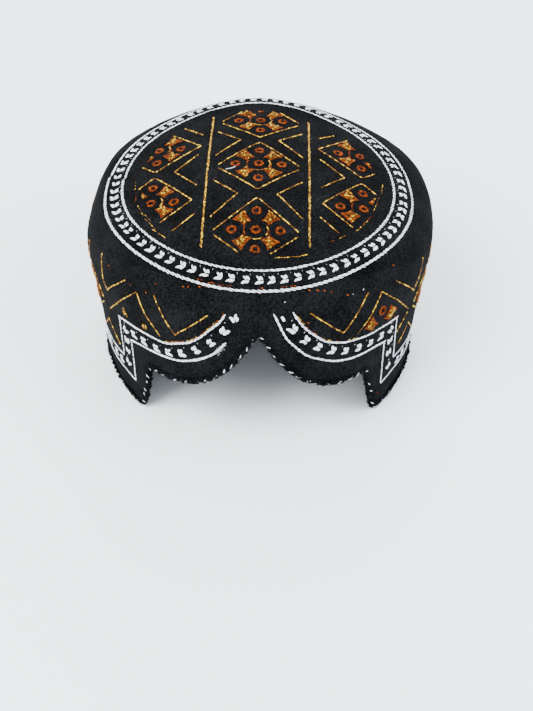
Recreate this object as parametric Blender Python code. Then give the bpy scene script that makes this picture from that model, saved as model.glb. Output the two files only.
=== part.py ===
"""Sindhi cap: a round cap of stiff black cloth that stands on its own hem.

Three pieces: a domed crown with a turned-down margin, a side band whose front
edge is cut to two lobes meeting in a point, and an overcast edging round the hem.
Metres, +Z up, front of the cap toward -Y. The origin is on the surface that the
hem rests on, in the middle of the cap.
"""

import math

import bmesh
import bpy
from mathutils import Matrix, Vector

# Plan of the side band: an oval at its widest level, a longer oval at the hem
WIDEST_HEIGHT = 0.0675
WIDEST_HALF_WIDTH = 0.0889
WIDEST_HALF_LENGTH = 0.0878
WIDEST_SHIFT = -0.0006
HEM_HALF_WIDTH = 0.0837
HEM_HALF_LENGTH = 0.0932
SIDE_HOLLOW = 0.0009
FRONT_BULGE = 0.0010

# The oval is a little flatter at its front corners, and fuller at its back corners
FRONT_CORNER_PULL = 0.0007
BACK_CORNER_PUSH = 0.0050

# Crown: its middle, and the circle where the dome turns down to the margin
CROWN_HEIGHT = 0.1065
RING_RADIUS = 0.0775
RING_OVAL = 1.015
RING_SHIFT = -0.0014

# The dome's edge droops at the back: depth there, half the angle, share of the radius
BACK_DROOP = 0.0040
BACK_DROOP_ANGLE = 41.0
BACK_DROOP_START = 0.86

# Roundness of the shoulder below the dome's edge: lengths of its curve's two handles
SHOULDER_LEAST = 0.0020
SHOULDER_MIDDLE = 0.0101
SHOULDER_BACK = 0.0159
SHOULDER_RIGHT = 0.0047
SHOULDER_FOOT = 0.0055

# Seam between crown and band, as a share of the way from ring to widest level
SEAM_SHARE_FRONT = 0.04
SEAM_SHARE_SIDE = 1.0

# Front opening: angles from the middle of the front, heights above the surface
TOOTH_ANGLE = 45.5
NOTCH_ANGLE = 38.5
NOTCH_HEIGHT = 0.0342
POINT_HEIGHT = 0.0720
LOBE_POWER = 3.0
TOOTH_RADIUS = 0.0050
NOTCH_RADIUS = 0.0020
POINT_RADIUS = 0.0010

# Cloth, edging and the gap kept between pieces
CLOTH_THICKNESS = 0.0020
EDGING_WIDTH = 0.0032
EDGING_HEIGHT = 0.0034
PIECE_GAP = 0.00035

# Small steps for reading a slope off a curved face, and halvings of a search
PROBE_ANGLE = 0.01
PROBE_HEIGHT = 0.0002
PROBE_SHARE = 0.005
HALVINGS = 40

# Fineness of the faceted solids
CROWN_COLUMNS = 72
BACK_COLUMNS = 44
LOBE_STEPS = 10
JAMB_STEPS = 4
CORNER_STEPS = 4
EDGING_SIDES = 8

# Steepness of the dome: share of the ring's radius, and slope in degrees there
DOME_SLOPES = (
    (0.00, 0.0),
    (0.39, 10.8),
    (0.71, 11.9),
    (0.88, 11.1),
    (1.00, 21.6),
)

# Waves of the dome's edge: how many go round, and height as a share of the ring's radius
DOME_WAVES = (
    (1, 0.0094),
    (2, 0.0311),
    (3, 0.0182),
    (5, 0.0103),
    (6, 0.0060),
)

# Rows of the solids: shares of the dome's radius, of its margin, and of the band's height
DOME_ROWS = (0.12, 0.26, 0.40, 0.56, 0.72, 0.86, 0.92, 0.96, 1.00)
MARGIN_ROWS = (0.25, 0.60, 1.00)
BAND_ROWS = (0.00, 0.04, 0.10, 0.20, 0.34, 0.50, 0.75, 1.00)


def dome_drop(share):
    """Depth below the crown's middle at a share of the ring's radius, without waves."""
    depth = 0.0
    for (inner, slope_in), (outer, slope_out) in zip(DOME_SLOPES, DOME_SLOPES[1:]):
        if share <= inner:
            break
        reach = min(share, outer)
        slope_reach = slope_in + (slope_out - slope_in) * (reach - inner) / (outer - inner)
        steepness = (math.tan(math.radians(slope_in)) + math.tan(math.radians(slope_reach))) / 2
        depth += steepness * (reach - inner) * RING_RADIUS
    return depth


def back_droop(share, angle):
    """Extra depth of the dome near its edge at the back of the cap."""
    from_back = math.remainder(angle - math.pi, 2 * math.pi) / math.radians(BACK_DROOP_ANGLE)
    if share <= BACK_DROOP_START or abs(from_back) >= 1:
        return 0.0
    outward = (share - BACK_DROOP_START) / (1 - BACK_DROOP_START)
    return BACK_DROOP * outward ** 2 * math.cos(from_back * math.pi / 2) ** 2


def dome_point(share, angle):
    """A spot on the dome's outer face; the angle runs from the front toward +X."""
    wave = 0.0
    for count, height in DOME_WAVES:
        growth = share ** max(count, 2)
        wave += height * RING_RADIUS * growth * math.cos(count * (math.pi - angle))
    return Vector((
        RING_SHIFT + RING_RADIUS * share * math.sin(angle),
        -RING_RADIUS * RING_OVAL * share * math.cos(angle),
        CROWN_HEIGHT - dome_drop(share) + wave - back_droop(share, angle),
    ))


def wall_point(angle, height):
    """A spot on the band's outer face, from the hem up to the widest level."""
    rise = height / WIDEST_HEIGHT
    bulge = 4 * rise * (1 - rise)
    half_width = HEM_HALF_WIDTH + (WIDEST_HALF_WIDTH - HEM_HALF_WIDTH) * rise - SIDE_HOLLOW * bulge
    half_length = HEM_HALF_LENGTH + (WIDEST_HALF_LENGTH - HEM_HALF_LENGTH) * rise + FRONT_BULGE * bulge
    fullness = -FRONT_CORNER_PULL if math.cos(angle) > 0 else BACK_CORNER_PUSH
    fullness *= math.sin(2 * angle) ** 2
    return Vector((
        WIDEST_SHIFT * rise + (half_width + fullness) * math.sin(angle),
        -(half_length + fullness) * math.cos(angle),
        height,
    ))


def shoulder_point(angle, share):
    """A spot between the dome's edge (share 0) and the widest level (share 1)."""
    ring = dome_point(1.0, angle)
    widest = wall_point(angle, WIDEST_HEIGHT)
    inside_ring = dome_point(1 - PROBE_SHARE, angle)
    below_widest = wall_point(angle, WIDEST_HEIGHT - PROBE_HEIGHT)
    swell = SHOULDER_MIDDLE - SHOULDER_BACK * math.cos(angle) + SHOULDER_RIGHT * math.sin(angle)
    leaving = (ring - inside_ring).normalized() * max(swell, SHOULDER_LEAST)
    arriving = (widest - below_widest).normalized() * SHOULDER_FOOT
    back = 1 - share
    return (
        ring * back ** 3
        + (ring + leaving) * 3 * share * back ** 2
        + (widest + arriving) * 3 * share ** 2 * back
        + widest * share ** 3
    )


def side_point(angle, height):
    """A spot below the dome's edge at any height, on the wall or on the shoulder above it."""
    if height <= WIDEST_HEIGHT:
        return wall_point(angle, height)
    low, high = 0.0, 1.0
    for _ in range(HALVINGS):
        middle = (low + high) / 2
        if shoulder_point(angle, middle).z > height:
            low = middle
        else:
            high = middle
    return shoulder_point(angle, (low + high) / 2)


def facing(place, first, second, step_first, step_second):
    """Unit vector out of the face that place(first, second) describes."""
    along = place(first + step_first, second) - place(first - step_first, second)
    across = place(first, second + step_second) - place(first, second - step_second)
    return along.cross(across).normalized()


def seam_height(angle):
    """Height of the seam between crown and band."""
    ring = dome_point(1.0, angle).z
    share = SEAM_SHARE_FRONT + (SEAM_SHARE_SIDE - SEAM_SHARE_FRONT) * math.sin(angle) ** 2
    return ring - share * (ring - WIDEST_HEIGHT)


def side_facing(angle, height):
    """Unit vector out of the cap below the dome's edge; it turns level toward the hem's foot."""
    highest = dome_point(1.0, angle).z - PROBE_HEIGHT
    outward = facing(side_point, angle, min(height, highest), PROBE_ANGLE, PROBE_HEIGHT)
    foot = EDGING_HEIGHT + PIECE_GAP
    outward.z *= min(max(height - foot, 0) / NOTCH_HEIGHT, 1)
    return outward.normalized()


def rounded_corner(before, corner, after, radius):
    """Points of the arc that replaces a corner of an outline."""
    toward_before = (before - corner).normalized()
    toward_after = (after - corner).normalized()
    half_angle = toward_before.angle(toward_after) / 2
    centre = corner + (toward_before + toward_after).normalized() * radius / math.sin(half_angle)
    reach = radius / math.tan(half_angle)
    start = corner + toward_before * reach - centre
    end = corner + toward_after * reach - centre
    shares = [step / CORNER_STEPS for step in range(CORNER_STEPS + 1)]
    return [centre + start.slerp(end, share) * radius for share in shares]


def lobe_outline(across):
    """Lower edge of a front lobe: distance from the middle of the front to height."""
    notch = math.radians(NOTCH_ANGLE)
    share = across / notch
    return NOTCH_HEIGHT + (POINT_HEIGHT - NOTCH_HEIGHT) * (1 - share) ** LOBE_POWER


def hem_outline():
    """Half of the finished hem laid flat, from the front point round to the back."""
    girth = (HEM_HALF_WIDTH + HEM_HALF_LENGTH) / 2
    notch = math.radians(NOTCH_ANGLE)
    tooth = math.radians(TOOTH_ANGLE)

    def flat(angle, height):
        return Vector((angle * girth, height))

    step = notch / LOBE_STEPS
    lobe = [flat(step * count, lobe_outline(step * count)) for count in range(1, LOBE_STEPS)]
    tip = flat(0, POINT_HEIGHT)
    point_arc = rounded_corner(Vector((-lobe[0].x, lobe[0].y)), tip, lobe[0], POINT_RADIUS)
    notch_corner = flat(notch, NOTCH_HEIGHT)
    tooth_corner = flat(tooth, 0)
    notch_arc = rounded_corner(lobe[-1], notch_corner, tooth_corner, NOTCH_RADIUS)
    tooth_arc = rounded_corner(notch_corner, tooth_corner, flat(math.pi, 0), TOOTH_RADIUS)
    jamb = [notch_arc[-1].lerp(tooth_arc[0], count / JAMB_STEPS) for count in range(1, JAMB_STEPS)]
    level_start = tooth_arc[-1]
    half_back = BACK_COLUMNS // 2
    level = [level_start.lerp(flat(math.pi, 0), count / half_back) for count in range(1, half_back + 1)]
    outline = point_arc[CORNER_STEPS // 2:] + lobe + notch_arc + jamb + tooth_arc + level
    return outline, girth


def band_edge():
    """The band's cut edge all the way round, as (angle, height), above the edging."""
    outline, girth = hem_outline()
    lift = EDGING_HEIGHT + PIECE_GAP
    last = len(outline) - 1
    half = []
    for count, spot in enumerate(outline):
        if count == 0 or count == last:
            into_cloth = Vector((0, 1))
        else:
            along = (outline[count + 1] - outline[count - 1]).normalized()
            into_cloth = Vector((-along.y, along.x))
        moved = spot + into_cloth * lift
        half.append((moved.x / girth, moved.y))
    other_half = [(2 * math.pi - angle, height) for angle, height in reversed(half[1:-1])]
    return half + other_half


def grow_rows(bm, columns, rows, place, filled=False):
    """A closed ring of vertices drawn out row by row; place(row, column) puts each one."""
    row_of = bm.verts.layers.int.new("row")
    column_of = bm.verts.layers.int.new("column")
    ring = bmesh.ops.create_circle(bm, cap_ends=filled, segments=columns, radius=1.0)["verts"]
    for column, vertex in enumerate(ring):
        vertex[column_of] = column
        vertex.co = place(0, column)
    edges = list(bm.edges)
    for row in range(1, rows):
        grown = bmesh.ops.extrude_edge_only(bm, edges=edges)["geom"]
        new = {item for item in grown if isinstance(item, bmesh.types.BMVert)}
        for vertex in new:
            vertex[row_of] = row
            vertex.co = place(row, vertex[column_of])
        edges = [item for item in grown if isinstance(item, bmesh.types.BMEdge) and set(item.verts) <= new]
    return row_of, column_of


def thicken(bm, inward):
    """Turn the open skin into a wall: a second skin at inward(vertex), joined at the edges."""
    copies = bmesh.ops.extrude_face_region(bm, geom=list(bm.faces), use_keep_orig=True)["geom"]
    for vertex in [item for item in copies if isinstance(item, bmesh.types.BMVert)]:
        vertex.co += inward(vertex) * CLOTH_THICKNESS
    bmesh.ops.recalc_face_normals(bm, faces=bm.faces)


def finish(bm, name, colour, roughness):
    """Make the object and its material from the finished mesh."""
    mesh = bpy.data.meshes.new(name)
    bm.to_mesh(mesh)
    bm.free()
    mesh.shade_smooth()
    mesh.set_sharp_from_angle(angle=math.radians(50))
    material = bpy.data.materials.new(name)
    material.use_nodes = True
    shader = material.node_tree.nodes["Principled BSDF"]
    shader.inputs["Base Color"].default_value = (*colour, 1.0)
    shader.inputs["Roughness"].default_value = roughness
    shader.inputs["Metallic"].default_value = 0.0
    mesh.materials.append(material)
    piece = bpy.data.objects.new(name, mesh)
    bpy.context.scene.collection.objects.link(piece)
    return piece


def make_crown():
    """Domed disc of cloth with its margin turned down to the seam."""
    bm = bmesh.new()
    dome_rows = len(DOME_ROWS)

    def outer(row, column):
        angle = 2 * math.pi * column / CROWN_COLUMNS
        if row < dome_rows:
            return dome_point(DOME_ROWS[row], angle)
        return side_point(angle, margin_height(row, angle))

    def margin_height(row, angle):
        ring = dome_point(1.0, angle).z
        edge = seam_height(angle) + PIECE_GAP / 2
        return ring + (edge - ring) * MARGIN_ROWS[row - dome_rows]

    rows = dome_rows + len(MARGIN_ROWS)
    row_of, column_of = grow_rows(bm, CROWN_COLUMNS, rows, outer, filled=True)
    middle = max(bm.faces, key=lambda face: len(face.verts))
    centre = bmesh.ops.poke(bm, faces=[middle])["verts"][0]
    centre.co = dome_point(0.0, 0.0)
    centre[row_of] = -1

    def inward(vertex):
        row = vertex[row_of]
        angle = 2 * math.pi * vertex[column_of] / CROWN_COLUMNS
        if row < 0:
            return Vector((0, 0, -1))
        if row < dome_rows:
            share = min(DOME_ROWS[row], 1 - PROBE_SHARE)
            return -facing(dome_point, share, angle, PROBE_SHARE, PROBE_ANGLE)
        return -side_facing(angle, margin_height(row, angle))

    thicken(bm, inward)
    return finish(bm, "crown", (0.012, 0.013, 0.016), 0.9)


def make_side_band():
    """Wall of cloth from the cut edge up to the seam, with its lobed front."""
    bm = bmesh.new()
    edge = band_edge()

    def height_at(row, column):
        angle, low = edge[column]
        high = seam_height(angle) - PIECE_GAP / 2
        return high + (low - high) * BAND_ROWS[row]

    def outer(row, column):
        return side_point(edge[column][0], height_at(row, column))

    row_of, column_of = grow_rows(bm, len(edge), len(BAND_ROWS), outer)

    def inward(vertex):
        column = vertex[column_of]
        return -side_facing(edge[column][0], height_at(vertex[row_of], column))

    thicken(bm, inward)
    return finish(bm, "side_band", (0.012, 0.013, 0.016), 0.92)


def make_hem_edging():
    """Overcast yarn along the cut edge, with a flat foot where the cap stands."""
    bm = bmesh.new()
    edge = band_edge()
    stations = len(edge)
    spots = [side_point(angle, height) for angle, height in edge]

    def frame(station):
        before, after = spots[station - 1], spots[(station + 1) % stations]
        outward = side_facing(*edge[station])
        into_cloth = outward.cross(after - before).normalized()
        return outward, into_cloth

    def place(station, corner):
        station = station % stations
        outward, into_cloth = frame(station)
        inner_face = spots[station] - outward * CLOTH_THICKNESS / 2
        middle = inner_face - into_cloth * (PIECE_GAP + EDGING_HEIGHT / 2)
        turn = 2 * math.pi * (corner + 0.5) / EDGING_SIDES
        flat = math.cos(math.pi / EDGING_SIDES)
        return (
            middle
            + outward * math.cos(turn) * EDGING_WIDTH / 2 / flat
            + into_cloth * math.sin(turn) * EDGING_HEIGHT / 2 / flat
        )

    grow_rows(bm, EDGING_SIDES, stations + 1, place)
    bmesh.ops.remove_doubles(bm, verts=bm.verts, dist=0.00001)
    bmesh.ops.recalc_face_normals(bm, faces=bm.faces)
    return finish(bm, "hem_edging", (0.02, 0.02, 0.024), 0.85)


def centre_on_floor(pieces):
    """Move the whole cap so that its outline seen from above is centred on the origin."""
    corners = [vertex.co for piece in pieces for vertex in piece.data.vertices]
    middle_x = (min(corner.x for corner in corners) + max(corner.x for corner in corners)) / 2
    middle_y = (min(corner.y for corner in corners) + max(corner.y for corner in corners)) / 2
    for piece in pieces:
        piece.data.transform(Matrix.Translation((-middle_x, -middle_y, 0)))


def main():
    for old in list(bpy.data.objects):
        bpy.data.objects.remove(old)
    centre_on_floor([make_crown(), make_side_band(), make_hem_edging()])


main()
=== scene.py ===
# %% [markdown]
# # Sindhi cap
# A round cap of stiff black cloth that stands on its own hem. The crown carries a gold and
# orange diamond pattern inside two white rings, the wall carries the same cloth turned a
# quarter above a white band, and the cut edge is overcast with yarn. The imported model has
# three plain solids: crown, side_band and hem_edging. This lesson dresses them: finer cloth
# and yarn take their place, and some twelve thousand stitches are laid onto that cloth.

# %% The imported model
import math

import bmesh
import bpy
import numpy as np
from mathutils import Matrix, Vector, noise


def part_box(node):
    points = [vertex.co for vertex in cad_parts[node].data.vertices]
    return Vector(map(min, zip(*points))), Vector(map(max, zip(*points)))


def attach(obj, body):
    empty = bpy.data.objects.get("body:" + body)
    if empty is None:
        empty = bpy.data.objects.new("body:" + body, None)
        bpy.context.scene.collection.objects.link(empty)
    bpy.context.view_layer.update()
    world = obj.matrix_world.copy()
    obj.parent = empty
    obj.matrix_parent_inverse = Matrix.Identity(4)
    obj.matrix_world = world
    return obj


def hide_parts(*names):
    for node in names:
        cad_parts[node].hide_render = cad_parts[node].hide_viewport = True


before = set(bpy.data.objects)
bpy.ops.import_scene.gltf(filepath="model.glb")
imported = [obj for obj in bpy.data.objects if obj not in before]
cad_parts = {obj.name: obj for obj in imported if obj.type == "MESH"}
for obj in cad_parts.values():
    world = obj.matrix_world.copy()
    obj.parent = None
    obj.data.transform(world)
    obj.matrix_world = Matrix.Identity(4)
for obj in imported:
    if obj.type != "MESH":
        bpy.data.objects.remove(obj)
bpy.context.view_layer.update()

MM = 0.001
crown_low, crown_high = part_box("crown")
band_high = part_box("side_band")[1]

# %% [markdown]
# ## Camera
# The photo looks down on the cap from the front. A camera can be aimed by eye or by a
# constraint. Here its place is worked out from the crown's highest point, as a distance and
# two angles, and its aim as two more angles and a small roll, so that every value can be
# read and changed by itself. The focal length in pixels becomes a lens in millimetres by
# the longer side of the picture, because that side is what the sensor width spans.

# %% Camera
IMAGE_WIDTH, IMAGE_HEIGHT = 533, 711
FOCAL_PIXELS = 1116.6
SENSOR_WIDTH, CLIP_START = 36.0, 0.01
DISTANCE = 0.56105
ELEVATION, AZIMUTH = 34.2905, -0.0659
AIM_DOWN, AIM_RIGHT, ROLL = 43.9646, -0.8072, 1.4135

crown_top = max((v.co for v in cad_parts["crown"].data.vertices), key=lambda co: co.z).copy()


def direction(right_degrees, down_degrees):
    """Unit vector that looks toward +Y, turned right and tipped down."""
    right, down = math.radians(right_degrees), math.radians(down_degrees)
    return Vector((math.sin(right) * math.cos(down), math.cos(right) * math.cos(down), -math.sin(down)))


def link_object(name, data):
    """Put data into the scene as an object at the origin."""
    made = bpy.data.objects.new(name, data)
    bpy.context.scene.collection.objects.link(made)
    return made


def add_camera():
    data = bpy.data.cameras.new("camera")
    data.sensor_width = SENSOR_WIDTH
    data.lens = SENSOR_WIDTH * FOCAL_PIXELS / max(IMAGE_WIDTH, IMAGE_HEIGHT)
    data.clip_start = CLIP_START
    camera = link_object("camera", data)
    place = crown_top - direction(-AZIMUTH, ELEVATION) * DISTANCE
    ahead = direction(-AIM_RIGHT, AIM_DOWN)
    right = ahead.cross(Vector((0, 0, 1))).normalized()
    up = right.cross(ahead)
    turn = Matrix.Rotation(math.radians(-ROLL), 3, ahead)
    right, up = turn @ right, turn @ up
    camera.matrix_world = Matrix((
        (right.x, up.x, -ahead.x, place.x),
        (right.y, up.y, -ahead.y, place.y),
        (right.z, up.z, -ahead.z, place.z),
        (0, 0, 0, 1),
    ))
    bpy.context.scene.camera = camera
    return camera


camera = add_camera()
print("camera at", [round(v, 3) for v in camera.location], "lens", round(camera.data.lens, 2))

# %% [markdown]
# ## Floor and light
# A studio floor could be a curved sweep, but this camera looks down so far that a plain
# sheet fills the picture. Soft light comes from large area lamps: a key from the front and
# left, weaker ones from the right and from behind, and a pale world that lifts the shadows.

# %% Floor and light
FLOOR_SIZE, FLOOR_GAP = 4.0, 0.0002
FLOOR_COLOUR, FLOOR_ROUGHNESS = (0.84, 0.89, 0.92), 0.75
LAMP_AIM = Vector((0, 0, 0.05))
LAMPS = (
    # name, place, size, watts and colour
    ("key", (-0.75, -0.55, 1.15), 0.9, 52, (1.0, 0.985, 0.96)),
    ("fill", (0.95, -0.25, 0.85), 0.9, 22, (0.95, 0.97, 1.0)),
    ("back", (0.1, 1.1, 0.9), 0.8, 20, (0.94, 0.97, 1.0)),
)
SKY_COLOUR, SKY_STRENGTH = (0.86, 0.90, 0.96), 1.7


def new_object(name, bm, material):
    """Turn a finished bmesh into an object at the origin, with its place in its mesh."""
    mesh = bpy.data.meshes.new(name)
    bm.to_mesh(mesh)
    bm.free()
    mesh.materials.append(material)
    return link_object(name, mesh)


def new_material(name, colour, roughness):
    """A node material whose Principled shader starts from one colour and roughness."""
    material = bpy.data.materials.new(name)
    material.use_nodes = True
    shader = material.node_tree.nodes["Principled BSDF"]
    shader.inputs["Base Color"].default_value = (*colour, 1)
    shader.inputs["Roughness"].default_value = roughness
    return material, material.node_tree, shader


def add_floor():
    material = new_material("pale_floor", FLOOR_COLOUR, FLOOR_ROUGHNESS)[0]
    bm = bmesh.new()
    bmesh.ops.create_grid(bm, x_segments=1, y_segments=1, size=FLOOR_SIZE / 2)
    bmesh.ops.translate(bm, verts=bm.verts, vec=(0, 0, -FLOOR_GAP))
    floor = new_object("floor", bm, material)


def add_lamp(name, place, size, watts, colour):
    data = bpy.data.lights.new(name, "AREA")
    data.size, data.energy, data.color = size, watts, colour
    lamp = link_object(name, data)
    lamp.location = place
    lamp.rotation_euler = (LAMP_AIM - lamp.location).to_track_quat("-Z", "Y").to_euler()


add_floor()
for lamp_values in LAMPS:
    add_lamp(*lamp_values)
world = bpy.data.worlds.new("studio")
world.use_nodes = True
sky = world.node_tree.nodes["Background"].inputs
sky["Color"].default_value = (*SKY_COLOUR, 1)
sky["Strength"].default_value = SKY_STRENGTH
bpy.context.scene.world = world

# %% [markdown]
# ## The cap's surface as a formula
# Everything sewn on follows the cloth, so the first thing needed is the cloth's outer face
# as a function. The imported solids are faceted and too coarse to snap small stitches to, so
# the design sizes are repeated here and the two halves are worked out afresh: a dome with
# a gently waving edge, and an oval wall that rounds over to meet it. Angles run from the
# front of the cap toward +X, and numpy works out many places in one call.

# %% Sizes of the cap
WIDEST_HEIGHT, WIDEST_SHIFT = 0.0675, -0.0006
WIDEST_HALF_WIDTH, WIDEST_HALF_LENGTH = 0.0889, 0.0878
HEM_HALF_WIDTH, HEM_HALF_LENGTH = 0.0837, 0.0932
SIDE_HOLLOW, FRONT_BULGE = 0.0009, 0.0010
FRONT_CORNER_PULL, BACK_CORNER_PUSH = 0.0007, 0.0050
RING_RADIUS, RING_OVAL = 0.0775, 1.015
BACK_DROOP, BACK_DROOP_ANGLE, BACK_DROOP_START = 0.0020, 41.0, 0.86
SHOULDER_LEAST, SHOULDER_MIDDLE, SHOULDER_BACK = 0.0020, 0.0101, 0.0159
SHOULDER_RIGHT, SHOULDER_FOOT, SHOULDER_CORNERS = 0.0075, 0.0035, 0.0048
SEAM_SHARE_FRONT, SEAM_SHARE_SIDE, SEAM_POWER = 0.04, 0.76, 4
CLOTH_THICKNESS, PIECE_GAP = 0.0020, 0.00035
EDGING_WIDTH, EDGING_HEIGHT = 0.0032, 0.0034
DOME_SLOPES = ((0.00, 0.0), (0.39, 10.8), (0.71, 11.9), (0.88, 11.1), (1.00, 21.6), (1.10, 27.0))
DOME_WAVES = ((1, 0.0094), (2, 0.0311), (3, 0.0182), (5, 0.0103), (6, 0.0060))

centre_x = (crown_low.x + crown_high.x) / 2 - WIDEST_SHIFT
FULL_TURN = 2 * math.pi
QUARTERS = np.radians((0, 90, 180, 270))

# %% Dome
SLOPE_STEPS = 441
slope_shares, slope_degrees = np.transpose(DOME_SLOPES)
fine_shares = np.linspace(0, slope_shares[-1], SLOPE_STEPS)
fine_slopes = np.interp(fine_shares, slope_shares, np.tan(np.radians(slope_degrees)))
fine_falls = (fine_slopes[1:] + fine_slopes[:-1]) / 2 * np.diff(fine_shares)
fine_drops = np.concatenate([[0], np.cumsum(fine_falls)])
ring_centre = np.array([crown_top.x, crown_top.y])


def dome(share, angle):
    """Places on the dome: share of the ring's radius, and angle."""
    share, angle = np.broadcast_arrays(np.asarray(share, float), np.asarray(angle, float))
    height = crown_top.z - np.interp(share, fine_shares, fine_drops) * RING_RADIUS
    for count, size in DOME_WAVES:
        height = height + size * RING_RADIUS * share ** max(count, 2) * np.cos(count * (math.pi - angle))
    from_back = (np.mod(angle, FULL_TURN) - math.pi) / math.radians(BACK_DROOP_ANGLE)
    outward = np.clip((share - BACK_DROOP_START) / (1 - BACK_DROOP_START), 0, None)
    height = height - BACK_DROOP * outward ** 2 * np.cos(np.clip(from_back, -1, 1) * math.pi / 2) ** 2
    x = ring_centre[0] + RING_RADIUS * share * np.sin(angle)
    y = ring_centre[1] - RING_RADIUS * RING_OVAL * share * np.cos(angle)
    return np.stack([x, y, height], -1)


print("dome edge at front, right, back, left:", np.round(dome(1, QUARTERS)[:, 2] / MM, 1))

# %% Wall and shoulder
PROBE_HEIGHT, PROBE_SHARE = 0.0002, 0.005


def unit(vectors):
    return vectors / np.linalg.norm(vectors, axis=-1, keepdims=True)


def wall_shape(angle, height):
    """Places on the wall below its widest level, with the oval's middle at the origin."""
    angle, height = np.broadcast_arrays(np.asarray(angle, float), np.asarray(height, float))
    rise = height / WIDEST_HEIGHT
    bulge = 4 * rise * (1 - rise)
    half_width = HEM_HALF_WIDTH + (WIDEST_HALF_WIDTH - HEM_HALF_WIDTH) * rise - SIDE_HOLLOW * bulge
    half_length = HEM_HALF_LENGTH + (WIDEST_HALF_LENGTH - HEM_HALF_LENGTH) * rise + FRONT_BULGE * bulge
    push = BACK_CORNER_PUSH * np.where(np.sin(angle) < 0, rise, 1)
    fullness = np.where(np.cos(angle) > 0, -FRONT_CORNER_PULL, push) * np.sin(2 * angle) ** 2
    x = WIDEST_SHIFT * rise + (half_width + fullness) * np.sin(angle)
    y = -(half_length + fullness) * np.cos(angle)
    return np.stack([x, y, height], -1)


centre_y = band_high.y - float(wall_shape(math.pi, EDGING_HEIGHT + PIECE_GAP)[1])
wall_centre = np.array([centre_x, centre_y, 0.0])


def wall(angle, height):
    return wall_shape(angle, height) + wall_centre


def shoulder(angle, share):
    """Places on the rounded shoulder: share 0 at the dome's edge, 1 at the widest level."""
    angle, share = np.broadcast_arrays(np.asarray(angle, float), np.asarray(share, float))
    ring, widest = dome(1.0, angle), wall(angle, WIDEST_HEIGHT)
    swell = SHOULDER_MIDDLE - SHOULDER_BACK * np.cos(angle) + SHOULDER_RIGHT * np.sin(angle)
    swell = swell + np.where(np.cos(angle) < 0, SHOULDER_CORNERS, 0) * np.sin(2 * angle) ** 2
    leaving = unit(ring - dome(1 - PROBE_SHARE, angle)) * np.maximum(swell, SHOULDER_LEAST)[..., None]
    arriving = unit(widest - wall(angle, WIDEST_HEIGHT - PROBE_HEIGHT)) * SHOULDER_FOOT
    t = share[..., None]
    upper = ring * (1 - t) + (ring + leaving) * 3 * t
    lower = (widest + arriving) * 3 * (1 - t) + widest * t
    return upper * (1 - t) ** 2 + lower * t ** 2


HALVINGS = 22


def bare_side(angle, height):
    """Places below the dome's edge at given heights, on the wall or the shoulder above it."""
    angle, height = np.broadcast_arrays(np.asarray(angle, float), np.asarray(height, float))
    low, high = np.zeros(angle.shape), np.ones(angle.shape)
    for _ in range(HALVINGS):
        middle = (low + high) / 2
        above = shoulder(angle, middle)[..., 2] > height
        low, high = np.where(above, middle, low), np.where(above, high, middle)
    upper, lower = shoulder(angle, (low + high) / 2), wall(angle, np.minimum(height, WIDEST_HEIGHT))
    return np.where((height > WIDEST_HEIGHT)[..., None], upper, lower)


def seam_height(angle):
    """Height of the seam between crown and band."""
    ring = dome(1.0, angle)[..., 2]
    share = SEAM_SHARE_FRONT + (SEAM_SHARE_SIDE - SEAM_SHARE_FRONT) * np.sin(angle) ** SEAM_POWER
    return ring - share * (ring - WIDEST_HEIGHT)


print("seam height at front, right, back, left:", np.round(seam_height(QUARTERS) / MM, 1))

# %% [markdown]
# ## Grounds to sew on
# A stitch is planned flat, as on an embroidery frame, and then bent onto the cap. A ground
# does that bending: it takes flat places in metres and gives points on the cloth with the
# direction out of it. The crown's flat plan is seen from above. The wall's is the wall
# unrolled, with one girth for all heights, so a millimetre stays close to a millimetre.
# The wall also has relief of its own: a soft fold down the middle of the front, a shallow
# groove across it, and both cloths dip where they meet at the seam.

# %% Relief of the wall
FOLD_DEPTH, FOLD_WIDTH, FOLD_SHIFT = 0.0015, 0.0018, 0.0006
FOLD_LOW, FOLD_FADE = 0.070, 0.006
GROOVE_DEPTH, GROOVE_HEIGHT, GROOVE_WIDTH, GROOVE_REACH = 0.0007, 0.0825, 0.0024, 0.034
SEAM_DEPTH, SEAM_WIDTH = 0.00025, 0.0012
GIRTH = (HEM_HALF_WIDTH + HEM_HALF_LENGTH) / 2
PROBE_ANGLE, PROBE_STEP = 0.004, 0.0004


def bell(distance, width):
    return np.exp(-(distance / width) ** 2)


def relief(angle, height):
    """How far the wall's face lies inside the plain form."""
    across = (np.mod(angle + math.pi, FULL_TURN) - math.pi) * GIRTH
    faded = np.clip((height - FOLD_LOW) / FOLD_FADE, 0, 1)
    fold = FOLD_DEPTH * bell(across - FOLD_SHIFT, FOLD_WIDTH) * faded
    groove = GROOVE_DEPTH * bell(height - GROOVE_HEIGHT, GROOVE_WIDTH) * bell(across, GROOVE_REACH)
    return fold + groove + SEAM_DEPTH * bell(height - seam_height(angle), SEAM_WIDTH)


def side(angle, height):
    """Places on the finished wall and the directions out of it."""
    top = dome(1.0, angle)[..., 2] - 2 * PROBE_HEIGHT
    held = np.minimum(height, top)
    along = bare_side(angle + PROBE_ANGLE, held) - bare_side(angle - PROBE_ANGLE, held)
    upward = bare_side(angle, held + PROBE_HEIGHT) - bare_side(angle, held - PROBE_HEIGHT)
    out = unit(np.cross(along, upward))
    return bare_side(angle, height) - out * relief(angle, height)[..., None], out


def on_wall(flat):
    """Ground of the unrolled wall: distance from the middle of the front, and height."""
    return side(flat[:, 0] / GIRTH, flat[:, 1])


def crown_spot(flat):
    """Places on the dome over flat places measured from the ring's middle."""
    x, y = flat[:, 0], flat[:, 1] / RING_OVAL
    return dome(np.hypot(x, y) / RING_RADIUS, np.arctan2(x, -y))


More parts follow.
